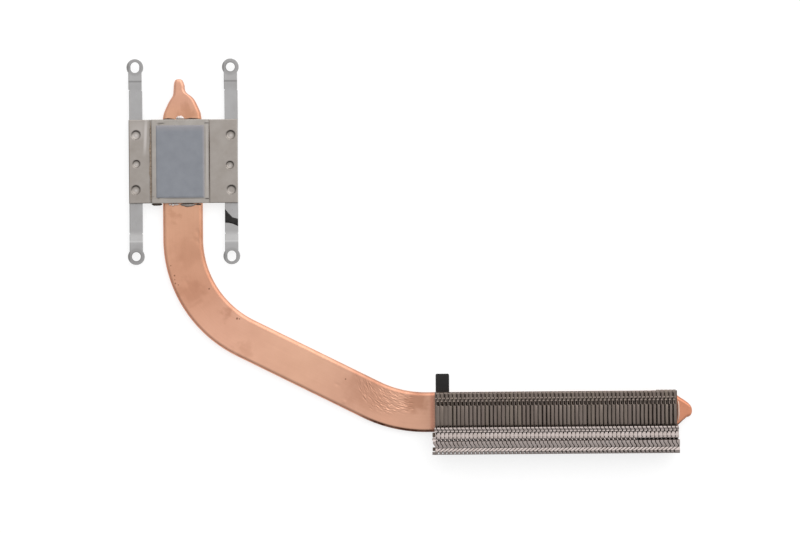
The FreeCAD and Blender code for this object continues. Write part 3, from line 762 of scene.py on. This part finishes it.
def springArm(name, node, side):
    half, reach, radius = arm["half"], arm["eyeY"], arm["eyeRadius"]
    join = math.asin(half / radius)  # from the strip's axis to the corner
    corner = reach - radius * math.cos(join)
    nickLow, nickHigh = arm["nickY"] - arm["nickHalf"], arm["nickY"] + arm["nickHalf"]
    # the right side with its two nicks and the upper eye, then the same turned half round
    shape = [(half, -corner + arm["neck"]), (half, -nickHigh),
            (half - arm["nick"], -arm["nickY"]), (half, -nickLow), (half, 0.0), (half, nickLow),
            (half - arm["nick"], arm["nickY"]), (half, nickHigh), (half, corner - arm["neck"])]
    for k in range(arm["eyeSteps"] + 1):
        angle = join + (2 * math.pi - 2 * join) * k / arm["eyeSteps"]
        shape.append((radius * math.sin(angle), reach - radius * math.cos(angle)))
    shape += [(-x, -y) for x, y in shape]
    # the slotted eye is the upper one on the left arm and the lower one on the right
    rings = [shape]
    for end in (1, -1):
        travel = arm["slot"] / 2 if end != side else 0.0
        turns = [2 * math.pi * k / arm["holeSteps"] for k in range(arm["holeSteps"])]
        rings.append([(arm["hole"] * math.cos(angle),
                end * reach + arm["hole"] * math.sin(angle)
                + (travel if math.sin(angle) >= 0 else -travel)) for angle in turns])
    curve = bpy.data.curves.new(name + "Outline", "CURVE")
    curve.dimensions = "2D"
    curve.fill_mode = "BOTH"
    curve.extrude = (arm["thick"] / 2 - arm["edge"]) * mm
    curve.bevel_depth = arm["edge"] * mm
    curve.bevel_resolution = 1
    curve.offset = -arm["edge"] * mm
    for ring in rings:
        spline = curve.splines.new("POLY")
        spline.points.add(len(ring) - 1)
        for point, (x, y) in zip(spline.points, ring):
            point.co = (x * mm, y * mm, 0.0, 1.0)
        spline.use_cyclic_u = True
    holder = bpy.data.objects.new(name + "Curve", curve)
    bpy.context.scene.collection.objects.link(holder)
    bpy.context.view_layer.update()
    flat = bpy.data.meshes.new_from_object(
        holder.evaluated_get(bpy.context.evaluated_depsgraph_get()))
    bpy.data.objects.remove(holder)
    editor = bmesh.new()
    editor.from_mesh(flat)
    bmesh.ops.remove_doubles(editor, verts=editor.verts, dist=1e-7)
    ramp = np.linspace(arm["rampStart"] - 0.5, arm["rampEnd"] + 0.4, arm["rampRows"])
    cuts = [arm["slopeStart"]] + ramp.tolist()
    for y in cuts + [-c for c in cuts]:
        bmesh.ops.bisect_plane(editor, geom=editor.verts[:] + editor.edges[:] + editor.faces[:],
                plane_co=(0, y * mm, 0), plane_no=(0, 1, 0))
    points = []
    for x, y, z in (v.co / mm for v in editor.verts):
        # between the plate and the upper nicks the strip stands a little further right
        lean = arm["lean"] if 0 < y < arm["leanTo"] else 0.0
        points.append((x + side * arm["x"] + lean, y, z + arm["low"] + armHeight(y)))
    editor.verts.index_update()
    faces = [tuple(v.index for v in face.verts) for face in editor.faces]
    editor.free()
    piece = makePiece(name, points, faces, steelFinish, replaced=[node], slotName="spring_steel")
    sharpenEdges(piece, 12)


springArm("leftSpringArm", "left_spring_arm", -1)
springArm("rightSpringArm", "right_spring_arm", 1)
print("spring arms made")


# fin stack

stack = {
    "x": 69.97, "y": -65.17, "pitch": 1.137, "count": 60, "floor": -1.5, "foldRadius": 0.2,
    "backRadius": 0.12, "fold": 0.14, "low": 1.7, "middle": 3.4, "high": 5.0, "depth": 16.95,
    "lowEnd": 9.6, "back": -0.897, "closed": (1, 2, 3, 4),  # bars that touch the fin before
    "fan": 0.42, "fanStart": 41, "fanEnd": 57,  # the last fins spread a little at the back
    "sheet": 0.2, "lip": 0.04,  # thickness, and how round the cut edges are
    # the number of the fin from which the slits are wider, the strip behind the middle band is
    # open, and the inlet lip stands out
    "wideFrom": 53, "openFrom": 50, "lipFrom": 55,
    # widths drawn for each fin: its long slit, the same where it is closed or wider, its
    # short slits at the inlet, the gap behind its higher flanges, and how uneven these are
    "slit": (0.18, 0.44), "closedSlit": (0.05, 0.10), "wideSlit": (0.38, 0.50),
    "inletSlit": (0.28, 0.48), "gap": (0.08, 0.15), "lean": 0.04, "tilt": 0.02,
    "tick": 0.44, "tickGrowth": 0.20,  # the windows' right borders, and what the last has more
    "farLip": -0.42, "lipSway": 0.05, "lipGrowth": 0.2, "lipStart": 34, "lipEnd": 50,
    "lowRadius": 0.16, "overlap": 0.03, "lastFoot": 0.817, "footGap": 0.04,
    # darker brown over the pipe, on the north side, partly painted shade: where it ends, and a
    # tone for each fin
    "brownTo": 9.48, "paleFrom": 9.68,
    "browns": [(0.0, "#80756c"), (0.35, "#786c66"), (0.7, "#81766f"), (1.0, "#726760")],
    # two rows of folds are darker: the tone by the share of this depth
    "darkRowDepth": 17.0,
    "darkRows": [(0.580, "#ffffff"), (0.588, "#e4e4e4"), (0.620, "#e4e4e4"),
             (0.626, "#ffffff"), (0.947, "#ffffff"), (0.953, "#e4e4e4")],
}
sheet = stack["sheet"]


def finSheetMetal():
    # Nickel-plated aluminium sheet, stamped: darker brown over the pipe, partly its own tint and
    # partly painted shade, and a paler pinkish grey on the two higher bands, with a thin sheen.
    material = sheetMetal("stampedFinSheet", "#b4a9a5", "#9c908a", 0.34, 0.3, 2.5)
    tree, baseColour, tone, place = openTone(material)
    north = stack["y"]
    # painted shade with the fins' own tint: darker brown over the pipe
    overPipe = addNode(tree, "ShaderNodeMapRange", {"From Min": (north - stack["paleFrom"]) * mm,
            "From Max": (north - stack["brownTo"]) * mm}, {"Value": place["Y"]})
    # each fin a little different: one tone for each, drawn at random by its number
    count = addNode(tree, "ShaderNodeMath", {"operation": "MULTIPLY_ADD",
            1: 1 / (stack["pitch"] * mm), 2: -stack["x"] / stack["pitch"]}, {0: place["X"]})
    number = addNode(tree, "ShaderNodeMath", {"operation": "FLOOR"}, {0: count.outputs[0]})
    chance = addNode(tree, "ShaderNodeTexWhiteNoise", {"noise_dimensions": "1D"},
            {"W": number.outputs[0]})
    brown = addNode(tree, "ShaderNodeValToRGB", {"stops": stack["browns"]},
            {0: chance.outputs["Value"]})
    toned = addNode(tree, "ShaderNodeMix", {"data_type": "RGBA"},
            {"A": tone, "B": brown.outputs["Color"], "Factor": overPipe.outputs[0]})
    depth = addNode(tree, "ShaderNodeMapRange", {"From Min": north * mm,
            "From Max": (north - stack["darkRowDepth"]) * mm}, {"Value": place["Y"]})
    shade = addNode(tree, "ShaderNodeValToRGB", {"stops": stack["darkRows"]}, {0: depth.outputs[0]})
    darkened = addNode(tree, "ShaderNodeMix", {"data_type": "RGBA", "blend_type": "MULTIPLY",
            "Factor": 1.0}, {"A": toned.outputs["Result"], "B": shade.outputs["Color"]})
    tree.links.new(darkened.outputs["Result"], baseColour)
    return material


finFinish = finSheetMetal()


def ribbon(stations, side, radius, points, faces):
    # a flange: stations are (depth, left, right, height), side is the folded side, with the
    # sheet's own thickness and a rounded fold there
    loops = []
    lip = stack["lip"]
    turns = [math.pi / 2 * k / 3 for k in range(4)]
    for depth, left, right, height in stations:
        fold = min(radius, (right - left) * 0.45)
        if side < 0:  # folded at the left
            loop = [(left + fold - fold * math.cos(turn), height - fold + fold * math.sin(turn))
                    for turn in turns]
            loop += [(right - lip, height), (right, height - lip), (right, height - sheet),
                    (left, height - sheet - 0.02)]
        else:
            loop = [(left, height - sheet), (left, height - lip), (left + lip, height)]
            loop += [(right - fold + fold * math.sin(turn), height - fold + fold * math.cos(turn))
                    for turn in turns]
            loop.append((right, height - sheet - 0.02))
        loops.append([(x, -depth, z) for x, z in loop])
    newPoints, newFaces = loftLoops(loops)
    start = len(points)
    points += newPoints
    faces += [tuple(start + i for i in face) for face in newFaces]


def standingSheet(outline, shift, points, faces):
    # the upright web between the flanges: outline is (depth, height). Its first two faces
    # are its left and right sides.
    base = stack["floor"] + 0.1
    start, count = len(points), len(outline)
    for x in (shift, shift + sheet):
        points += [(x, -depth, max(z, base) if z else base) for depth, z in outline]
    faces.append(tuple(start + i for i in range(count)))
    faces.append(tuple(start + count + i for i in reversed(range(count))))
    for i in range(count):
        j = (i + 1) % count
        faces.append((start + j, start + i, start + count + i, start + count + j))


def finShape(number, closing, points, faces, shadedFaces):
    # one folded fin in its own place; the last argument collects the faces deep inside the
    # channels, which take the dark finish as painted shade
    draw = random.Random(700 + number)
    pitch, back, fold = stack["pitch"], stack["back"], stack["fold"]
    originX = stack["x"] + pitch * number
    low, middle, high = stack["low"], stack["middle"], stack["high"]
    opening = number == 0
    mine, mineFaces = [], []
    slit = draw.uniform(*stack["slit"])
    if number in stack["closed"]:
        slit = draw.uniform(*stack["closedSlit"])
    if number >= stack["wideFrom"]:
        slit = draw.uniform(*stack["wideSlit"])
    wide = draw.uniform(*stack["inletSlit"])
    lean = draw.uniform(-stack["lean"], stack["lean"])
    tilt = draw.uniform(-stack["tilt"], stack["tilt"])
    tick = stack["tick"] + stack["tickGrowth"] * number / stack["count"]
    # how far the lip reaches: further at the far end
    proud = stack["farLip"]
    if number < stack["lipFrom"]:
        growth = smoothStep(stack["lipStart"], stack["lipEnd"], number)
        proud = draw.uniform(-stack["lipSway"], stack["lipSway"]) - stack["lipGrowth"] * growth

    def flap(rows):
        # low flange, back towards the fin before: depth, start and end across, and height
        # from the low level. 0 is the fold of the fin before, one pitch is this fin's own.
        widest = pitch - 0.12 if closing else pitch
        ribbon([(depth, fold - pitch + start, fold - pitch + min(end, widest), low + up)
                for depth, start, end, up in rows], 1, stack["lowRadius"], mine, mineFaces)

    if opening:
        flap([(0.05, pitch - fold, pitch, -0.04), (9.5, pitch - fold, pitch, 0)])
    else:
        # inlet lip, short slits, zip tongue, windows, then the long bars over the pipe
        flap([(proud, 0.18, pitch - 0.10, -0.14), (proud + 0.05, 0.10, pitch - 0.02, -0.06),
                (proud + 0.14, 0.06, pitch, -0.01), (0.30, 0.06, pitch, 0),
                (0.40, wide - 0.06, pitch, 0), (0.50, wide, pitch, 0),
                (1.24, wide + lean, pitch, 0), (1.36, wide - 0.02, pitch, 0)])
        flap([(1.36, -0.10, 0.40, -0.02), (1.42, -0.26, 0.46, 0),
              (1.70, -0.28, 0.46, 0.08), (1.78, -0.10, 0.40, 0.06)])
        flap([(1.36, 0.60, pitch, -0.06), (1.76, 0.60, pitch, 0.04)])
        flap([(1.76, 0.36, 0.92, -0.06), (2.14, 0.34, 0.94, -0.10),
              (2.18, 0.22, 0.90, -0.10), (2.48, 0.20, 0.90, 0),
              (2.54, 0.22, tick + 0.06, -0.06), (2.60, 0.22, tick, -0.08),
              (3.44, 0.20, tick - 0.06, -0.08), (3.56, slit, tick + 0.06, -0.04)])
        flap([(3.56, slit, tick + 0.10, 0), (3.70, slit, pitch - 0.12, 0),
              (3.80, slit, pitch, tilt), (6.6, slit - lean, pitch, 0),
              (9.06, slit + lean, pitch, 0), (9.14, slit, pitch - 0.30, -0.02),
              (9.24, slit, 0.78 + lean * 2, -0.02), (9.52, slit, 0.62, -0.06)])
    # middle and high bands fold back over the fin before
    gap = draw.uniform(*stack["gap"])
    fan = stack["fan"] * smoothStep(stack["fanStart"], stack["fanEnd"], number)

    def band(limit, level, rows):
        # rows: depth, sideways shift, extra gap, height from the band's level, and what is
        # cut off at the right
        stations = []
        for depth, shift, extra, up, *cut in rows:
            # no extra gap given: the flange touches the fin before
            left = back + shift + (gap + extra if extra is not None else -stack["overlap"])
            right = sheet + shift - sum(cut)
            if closing:
                left, right = min(left, sheet - 0.12), sheet - sum(cut)
            if opening:
                left, right = max(left, limit), max(right, sheet)
            stations.append((depth, left + fan, right + fan, level + up))
        ribbon(stations, 1, stack["backRadius"], mine, mineFaces)

    band(-0.24, middle, [(9.50, 0.0, 0.08, -0.26), (9.57, 0.0, 0.05, -0.10), (9.86, 0.0, 0.04, 0),
            (10.08, 0.17, 0.02, -0.02), (10.46, 0.52, 0.02, -0.08)])
    band(-0.24, middle, [(10.52, 0.50, 0.04, -0.16), (10.58, 0.44, 0.05, -0.12),
            (10.82, 0.40, 0.08, -0.08)])
    band(-0.05, middle, [(11.02, 0.0, 0.12, -0.28), (11.09, 0.0, 0.10, -0.20),
            (11.46, 0.0, 0.08, -0.13), (11.52, 0.0, None, -0.12), (12.18, 0.0, None, 0)])
    band(-0.93, middle, [(12.22, 0.0, 0.06, -0.08), (12.54, 0.0, 0.02, 0), (12.58, 0.0, None, 0),
            (12.80, 0.0, None, -0.03)])
    if number < stack["openFrom"]:  # further on this strip is open from fin to fin
        band(-0.93, middle, [(12.82, 0.0, None, -0.04, 0.84), (13.22, 0.0, 0.0, 0.18, 0.54)])
    band(-0.93, high, [(13.24, 0.0, 0.06, -0.18), (13.32, 0.0, 0.03, -0.03),
            (13.78, 0.0, 0.03, -0.02), (14.00, 0.12, 0.04, -0.05), (14.64, 0.56, 0.05, -0.12),
            (15.02, 0.66, 0.08, -0.20)])
    band(-0.05, high, [(15.14, 0.60, 0.10, -0.42), (15.24, 0.48, 0.06, -0.36),
            (16.08, -0.72, 0.04, -0.10)])
    band(-0.90, high, [(16.12, -0.66, 0.24, -0.16, 0.04), (16.22, -0.62, 0.26, -0.06),
            (16.54, -0.62, 0.22, -0.08), (16.74, -0.61, None, -0.14), (16.90, -0.60, None, -0.20),
            (16.95, -0.58, 0.06, -0.27)])
    # the sheet that stands between them, flush under every fold and open at the windows
    sides = [len(mineFaces)]
    standingSheet([(0.05, 0.0), (0.0, low - 0.25), (1.78, low - 0.25), (1.80, low - 1.3),
            (3.58, low - 1.3), (3.60, low - 0.25), (9.10, low - 0.25), (9.12, low - 1.0),
            (stack["lowEnd"], low - 1.0), (stack["lowEnd"], 0.0)], 0.0, mine, mineFaces)
    sides.append(len(mineFaces))
    standingSheet([(stack["lowEnd"], 0.0), (stack["lowEnd"], middle - 0.30),
            (10.46, middle - 0.47), (10.82, middle - 0.60), (11.02, middle - 0.60),
            (11.09, middle - 0.42), (12.18, middle - 0.25), (12.60, middle - 0.40),
            (12.80, middle - 1.6), (13.22, middle - 1.6), (13.26, high - 0.42),
            (13.78, high - 0.28), (14.58, high - 0.49), (14.90, high - 0.66),
            (15.24, high - 0.66), (16.08, high - 0.42), (16.80, high - 0.44),
            (stack["depth"], high - 0.55), (stack["depth"], 0.0)], fan, mine, mineFaces)
    # foot that lies on the pipe, dark as painted shade at the channel's bottom
    foot = stack["lastFoot"] if closing else pitch - stack["footGap"]
    footTop = stack["floor"] + sheet
    beforeFoot = len(mineFaces)
    if opening:
        # two lower tongues, dark as painted shade, that show in the first fin's notches
        for start, end, height in ((11.0, 12.25, middle - 0.9), (14.95, 15.95, high - 0.9)):
            ribbon([(start, -0.80, 0.1, height), (end, -0.80, 0.1, height)], 1, 0.1,
                   mine, mineFaces)
    ribbon([(0.0, 0.0, foot, footTop), (stack["depth"], 0.0, foot, footTop)], -1,
           stack["foldRadius"], mine, mineFaces)
    shadedFaces += range(len(faces) + beforeFoot, len(faces) + len(mineFaces))
    # painted shade on the walls inside the channels too, the stack's two outer sides keep the
    # fin's own finish
    for first in sides:
        shadedFaces += [] if opening else [len(faces) + first]
        shadedFaces += [] if closing else [len(faces) + first + 1]
    offset = len(points)
    points += [(x + originX, y + stack["y"], z) for x, y, z in mine]
    faces += [tuple(offset + i for i in face) for face in mineFaces]


for pairNumber in range(stack["count"] // 2):
    pairPoints, pairFaces, pairShadedFaces = [], [], []
    for number in (2 * pairNumber, 2 * pairNumber + 1):
        finShape(number, number == stack["count"] - 1, pairPoints, pairFaces, pairShadedFaces)
    pairName = f"{pairNumber + 1:02d}"
    finPair = makePiece("finPair" + pairName, pairPoints, pairFaces, finFinish,
            replaced=["fin_pair_" + pairName], slotName="fin_sheet")
    # painted shade: the faces deep in the channels take the dark finish
    finPair.data.materials.append(footShadeFinish)
    for index in pairShadedFaces:
        finPair.data.polygons[index].material_index = 1
    sharpenEdges(finPair, 32)
print("fin stack made")


# tape tab

tape = {
    "left": 70.27, "right": 74.07, "low": -73.22, "high": -60.12, "z": -3.5, "thick": 0.13,
    "floor": -3.65, "rows": 40, "columns": 8, "corner": 0.22, "cornerReach": 0.35,
    # the loose end: where it starts, its waves, and how far its borders curl down
    "looseFrom": -64.7, "lift": 0.010, "waves": 0.9, "curl": 0.02, "curlReach": 3.0,
}


def tapeTab():
    loops = []
    for k in range(tape["rows"] + 1):
        y = tape["low"] + (tape["high"] - tape["low"]) * k / tape["rows"]
        free = max(0.0, y - tape["looseFrom"])
        lift = tape["lift"] * free * free * (0.5 + 0.5 * math.sin(free * tape["waves"]))
        border = min(tape["high"] - y, y - tape["low"])
        corner = tape["corner"] * smoothStep(tape["cornerReach"], 0.0, border)
        curl = tape["curl"] * smoothStep(0.0, tape["curlReach"], free)
        left, right = tape["left"] + corner, tape["right"] - corner
        shares = [i / tape["columns"] for i in range(tape["columns"] + 1)]
        loop = [(left + (right - left) * t, y, tape["z"] - 0.02 + lift - curl * (2 * t - 1) ** 2)
                for t in shares]
        loop += [(x, y, z - tape["thick"]) for x, y, z in reversed(loop)]
        loops.append([(x, y, max(z, tape["floor"])) for x, y, z in loop])
    piece = makePiece("tapeTab", *loftLoops(loops), tapeFinish, replaced=["tape_tab"],
            slotName="tape")
    sharpenEdges(piece)


tapeTab()
print("tape made")


# solder, flux and ink

def bead(name, path, seed, finish):
    # a lump or run that set on a surface: path is (x, y, z, half width, height)
    draw = random.Random(seed)
    parts, sides = 4, 14  # between two points of the path, and round it
    fine = []
    for a, b in zip(path, path[1:]):
        fine += [tuple(p + (q - p) * t / parts for p, q in zip(a, b)) for t in range(parts)]
    fine.append(path[-1])
    loops = []
    for k, (x, y, z, half, tall) in enumerate(fine):
        before, after = fine[max(k - 1, 0)], fine[min(k + 1, len(fine) - 1)]
        headX, headY = after[0] - before[0], after[1] - before[1]
        length = math.hypot(headX, headY) or 1.0
        sideX, sideY = -headY / length, headX / length
        ends = math.sin(math.pi * (k + 0.35) / (len(fine) - 0.3))
        width = half * ends ** 0.5 * draw.uniform(0.82, 1.12)
        height = tall * ends ** 0.6 * draw.uniform(0.85, 1.1)
        loop = []
        for i in range(sides):
            angle = 2 * math.pi * i / sides
            wobble = draw.uniform(0.93, 1.07)
            out = width * math.cos(angle) * wobble
            up = height * max(math.sin(angle), -0.35) * wobble
            loop.append((x + sideX * out, y + sideY * out, z + up))
        loops.append(loop)
    makePiece(name, *loftLoops(loops), finish)


# name, path and finish of each
fillets = [
    ("solderUpper", [(-2.05, 12.1, -1.35, 0.36, 0.5), (-1.3, 12.36, -1.3, 0.56, 0.66),
                     (-0.4, 12.38, -1.3, 0.58, 0.66), (0.4, 12.1, -1.35, 0.36, 0.45)],
     solderFinish),
    ("solderLowerLeft", [(-4.3, -11.85, -1.4, 0.16, 0.2), (-3.9, -12.0, -1.35, 0.46, 0.55),
                         (-3.5, -11.9, -1.4, 0.18, 0.2), (-3.0, -12.05, -1.35, 0.48, 0.6),
                         (-2.5, -11.95, -1.4, 0.22, 0.3), (-1.9, -12.0, -1.35, 0.44, 0.55),
                         (-1.2, -11.9, -1.4, 0.20, 0.25)], solderFinish),
    ("solderLowerRight", [(-0.9, -12.0, -1.45, 0.42, 0.3), (1.2, -12.15, -1.4, 0.60, 0.42),
                          (3.4, -12.0, -1.45, 0.42, 0.3)], dullSolderFinish),
    ("solderEast", [(138.2, -68.0, -1.5, 0.30, 0.2), (138.3, -69.6, -1.5, 0.42, 0.26),
                    (138.3, -72.0, -1.5, 0.40, 0.24), (138.15, -73.8, -1.5, 0.28, 0.2)],
     tinnedFinish),
    ("fluxUpper", [(-5.6, 11.95, -1.45, 0.20, 0.22), (-4.0, 12.05, -1.45, 0.26, 0.24),
                   (-2.4, 11.95, -1.45, 0.2, 0.2)], burntFinish),
    ("fluxUpperRight", [(0.3, 11.95, -1.45, 0.2, 0.2), (2.4, 12.02, -1.45, 0.24, 0.24),
                        (4.9, 11.95, -1.45, 0.2, 0.2)], burntFinish),
    ("fluxLowerRight", [(3.4, -11.95, -1.45, 0.2, 0.24), (4.9, -12.0, -1.45, 0.24, 0.24)],
     burntFinish),
    # a dark run along the plate's lower edge, left of the pipe
    ("darkRunLowerLeft", [(-9.0, -11.85, -1.5, 0.30, 0.3), (-8.4, -11.9, -1.5, 0.36, 0.3),
                       (-6.6, -11.9, -1.5, 0.36, 0.3), (-6.0, -11.85, -1.5, 0.30, 0.3)],
     burntFinish),
    ("fluxLeft", [(-8.95, 11.5, -0.7, 0.20, 0.10), (-9.05, 8.6, -0.7, 0.32, 0.12),
                  (-8.95, 6.0, -0.7, 0.24, 0.10), (-9.1, 3.4, -0.7, 0.40, 0.13),
                  (-9.0, 0.4, -0.7, 0.26, 0.12), (-9.15, -2.6, -0.7, 0.42, 0.13),
                  (-9.0, -5.6, -0.7, 0.24, 0.10), (-9.1, -8.6, -0.7, 0.36, 0.12),
                  (-9.0, -11.5, -0.7, 0.24, 0.10)], fluxFinish),
    # painted shade: a thin dark line at the foot of the block's right edge
    ("shadeLineRight", [(7.42, 11.5, -0.7, 0.09, 0.05), (7.45, 4.0, -0.7, 0.11, 0.05),
                   (7.42, -4.0, -0.7, 0.09, 0.05), (7.45, -11.5, -0.7, 0.1, 0.05)],
     burntFinish),
]
for number, (name, path, finish) in enumerate(fillets):
    bead(name, path, 300 + number, finish)  # each with its own draws


ink = {
    # the stroke's two borders: x and y on the right arm
    "upper": [(11.45, -13.2), (12.6, -14.6), (13.7, -15.7), (15.25, -16.1)],
    "lower": [(11.45, -17.15), (12.6, -17.25), (13.7, -17.5), (15.25, -18.2)],
    "left": 11.55, "right": 15.2, "columns": 12, "rows": 4, "lift": 0.007, "film": 0.005,
}


def inkStroke():
    # a marker swipe across the right arm, a film that follows the steel
    points, faces = [], []
    top = arm["low"] + arm["thick"] / 2
    for k in range(ink["columns"] + 1):
        x = ink["left"] + (ink["right"] - ink["left"]) * k / ink["columns"]
        high = between(ink["upper"], x)[0]
        low = between(ink["lower"], x)[0]
        for t in range(ink["rows"] + 1):
            y = low + (high - low) * t / ink["rows"]
            points.append((x, y, top + armHeight(y) + ink["lift"]))
    perColumn = ink["rows"] + 1
    for k in range(ink["columns"]):
        for t in range(ink["rows"]):
            a = k * perColumn + t
            faces.append((a, a + perColumn, a + perColumn + 1, a + 1))
    piece = makePiece("inkStroke", points, faces, inkFinish)
    thick = piece.modifiers.new("film", "SOLIDIFY")
    thick.thickness = ink["film"] * mm


inkStroke()
print("solder, flux and ink made")


# floor, light and camera

studio = {
    "floorZ": -3.68, "floor": "#a8a8a8", "floorGlow": 0.70,
    "floorCorners": [(-1.9, -2), (2.1, -2), (2.1, 2), (-1.9, 2)],  # metres
    "aim": (0.0635, -0.027, 0.0),  # the object's middle, metres
    # the window light: direction, and its distance, width, height (metres) and power
    "window": (0.4, 0.8, 0.9), "distance": 1.0, "width": 1.4, "height": 1.1, "power": 3.6,
    "bright": (0.45, 0.86, 0.22), "dim": 0.24, "full": 1.20,  # the room's bright side
    "camera": (60.5, -29.85, 518.0), "turn": -0.45, "lens": 83.37,  # lens and place in mm
}


def studioFloor():
    # pale paper: matt, and shown at its own tone to the camera and in reflections
    material, tree, shader = newMaterial("paleFloor")
    shader.inputs["Base Color"].default_value = hexToLinear(studio["floor"])
    shader.inputs["Roughness"].default_value = 0.9
    rays = addNode(tree, "ShaderNodeLightPath")
    seen = addNode(tree, "ShaderNodeMath", {"operation": "MAXIMUM"},
            {0: rays.outputs["Is Camera Ray"], 1: rays.outputs["Is Glossy Ray"]})
    shown = addNode(tree, "ShaderNodeMath", {"operation": "MAXIMUM"},
            {0: seen.outputs[0], 1: rays.outputs["Is Transmission Ray"]})
    part = addNode(tree, "ShaderNodeMath", {"operation": "MULTIPLY", 1: studio["floorGlow"]},
            {0: shown.outputs[0]})
    shader.inputs["Emission Color"].default_value = (1, 1, 1, 1)
    tree.links.new(part.outputs[0], shader.inputs["Emission Strength"])
    mesh = bpy.data.meshes.new("floor")
    corners = [(x, y, studio["floorZ"] * mm) for x, y in studio["floorCorners"]]
    mesh.from_pydata(corners, [], [(0, 1, 2, 3)])
    mesh.materials.append(material)
    floor = bpy.data.objects.new("floor", mesh)
    bpy.context.scene.collection.objects.link(floor)


def windowLight():
    data = bpy.data.lights.new("windowLight", "AREA")
    data.shape = "RECTANGLE"
    data.size = studio["width"]
    data.size_y = studio["height"]
    data.energy = studio["power"]
    lamp = bpy.data.objects.new("windowLight", data)
    bpy.context.scene.collection.objects.link(lamp)
    direction = Vector(studio["window"]).normalized()
    lamp.location = Vector(studio["aim"]) + direction * studio["distance"]
    lamp.rotation_euler = direction.to_track_quat("Z", "Y").to_euler()


def studioWorld():
    # a white room that is brighter towards the window side, north-east of the object
    world = bpy.data.worlds.new("studio")
    bpy.context.scene.world = world
    world.use_nodes = True
    tree = world.node_tree
    background = tree.nodes["Background"]
    background.inputs["Color"].default_value = (1, 1, 1, 1)
    coords = addNode(tree, "ShaderNodeTexCoord")
    bright = Vector(studio["bright"]).normalized()
    facing = addNode(tree, "ShaderNodeVectorMath", {"operation": "DOT_PRODUCT", 1: tuple(bright)},
            {0: coords.outputs["Generated"]})
    level = addNode(tree, "ShaderNodeMapRange", {"From Min": -1.0, "From Max": 1.0,
            "To Min": studio["dim"], "To Max": studio["full"]},
            {"Value": facing.outputs["Value"]})
    tree.links.new(level.outputs[0], background.inputs["Strength"])


studioFloor()
studioWorld()
windowLight()

cameraData = bpy.data.cameras.new("camera")
cameraData.lens = studio["lens"]
cameraData.sensor_width = 36.0
cameraData.clip_start = 0.01
camera = bpy.data.objects.new("camera", cameraData)
bpy.context.scene.collection.objects.link(camera)
camera.location = [c * mm for c in studio["camera"]]
camera.rotation_euler = (0.0, 0.0, math.radians(studio["turn"]))
bpy.context.scene.camera = camera
bpy.context.scene.view_settings.view_transform = "Standard"
print("floor, light and camera set")
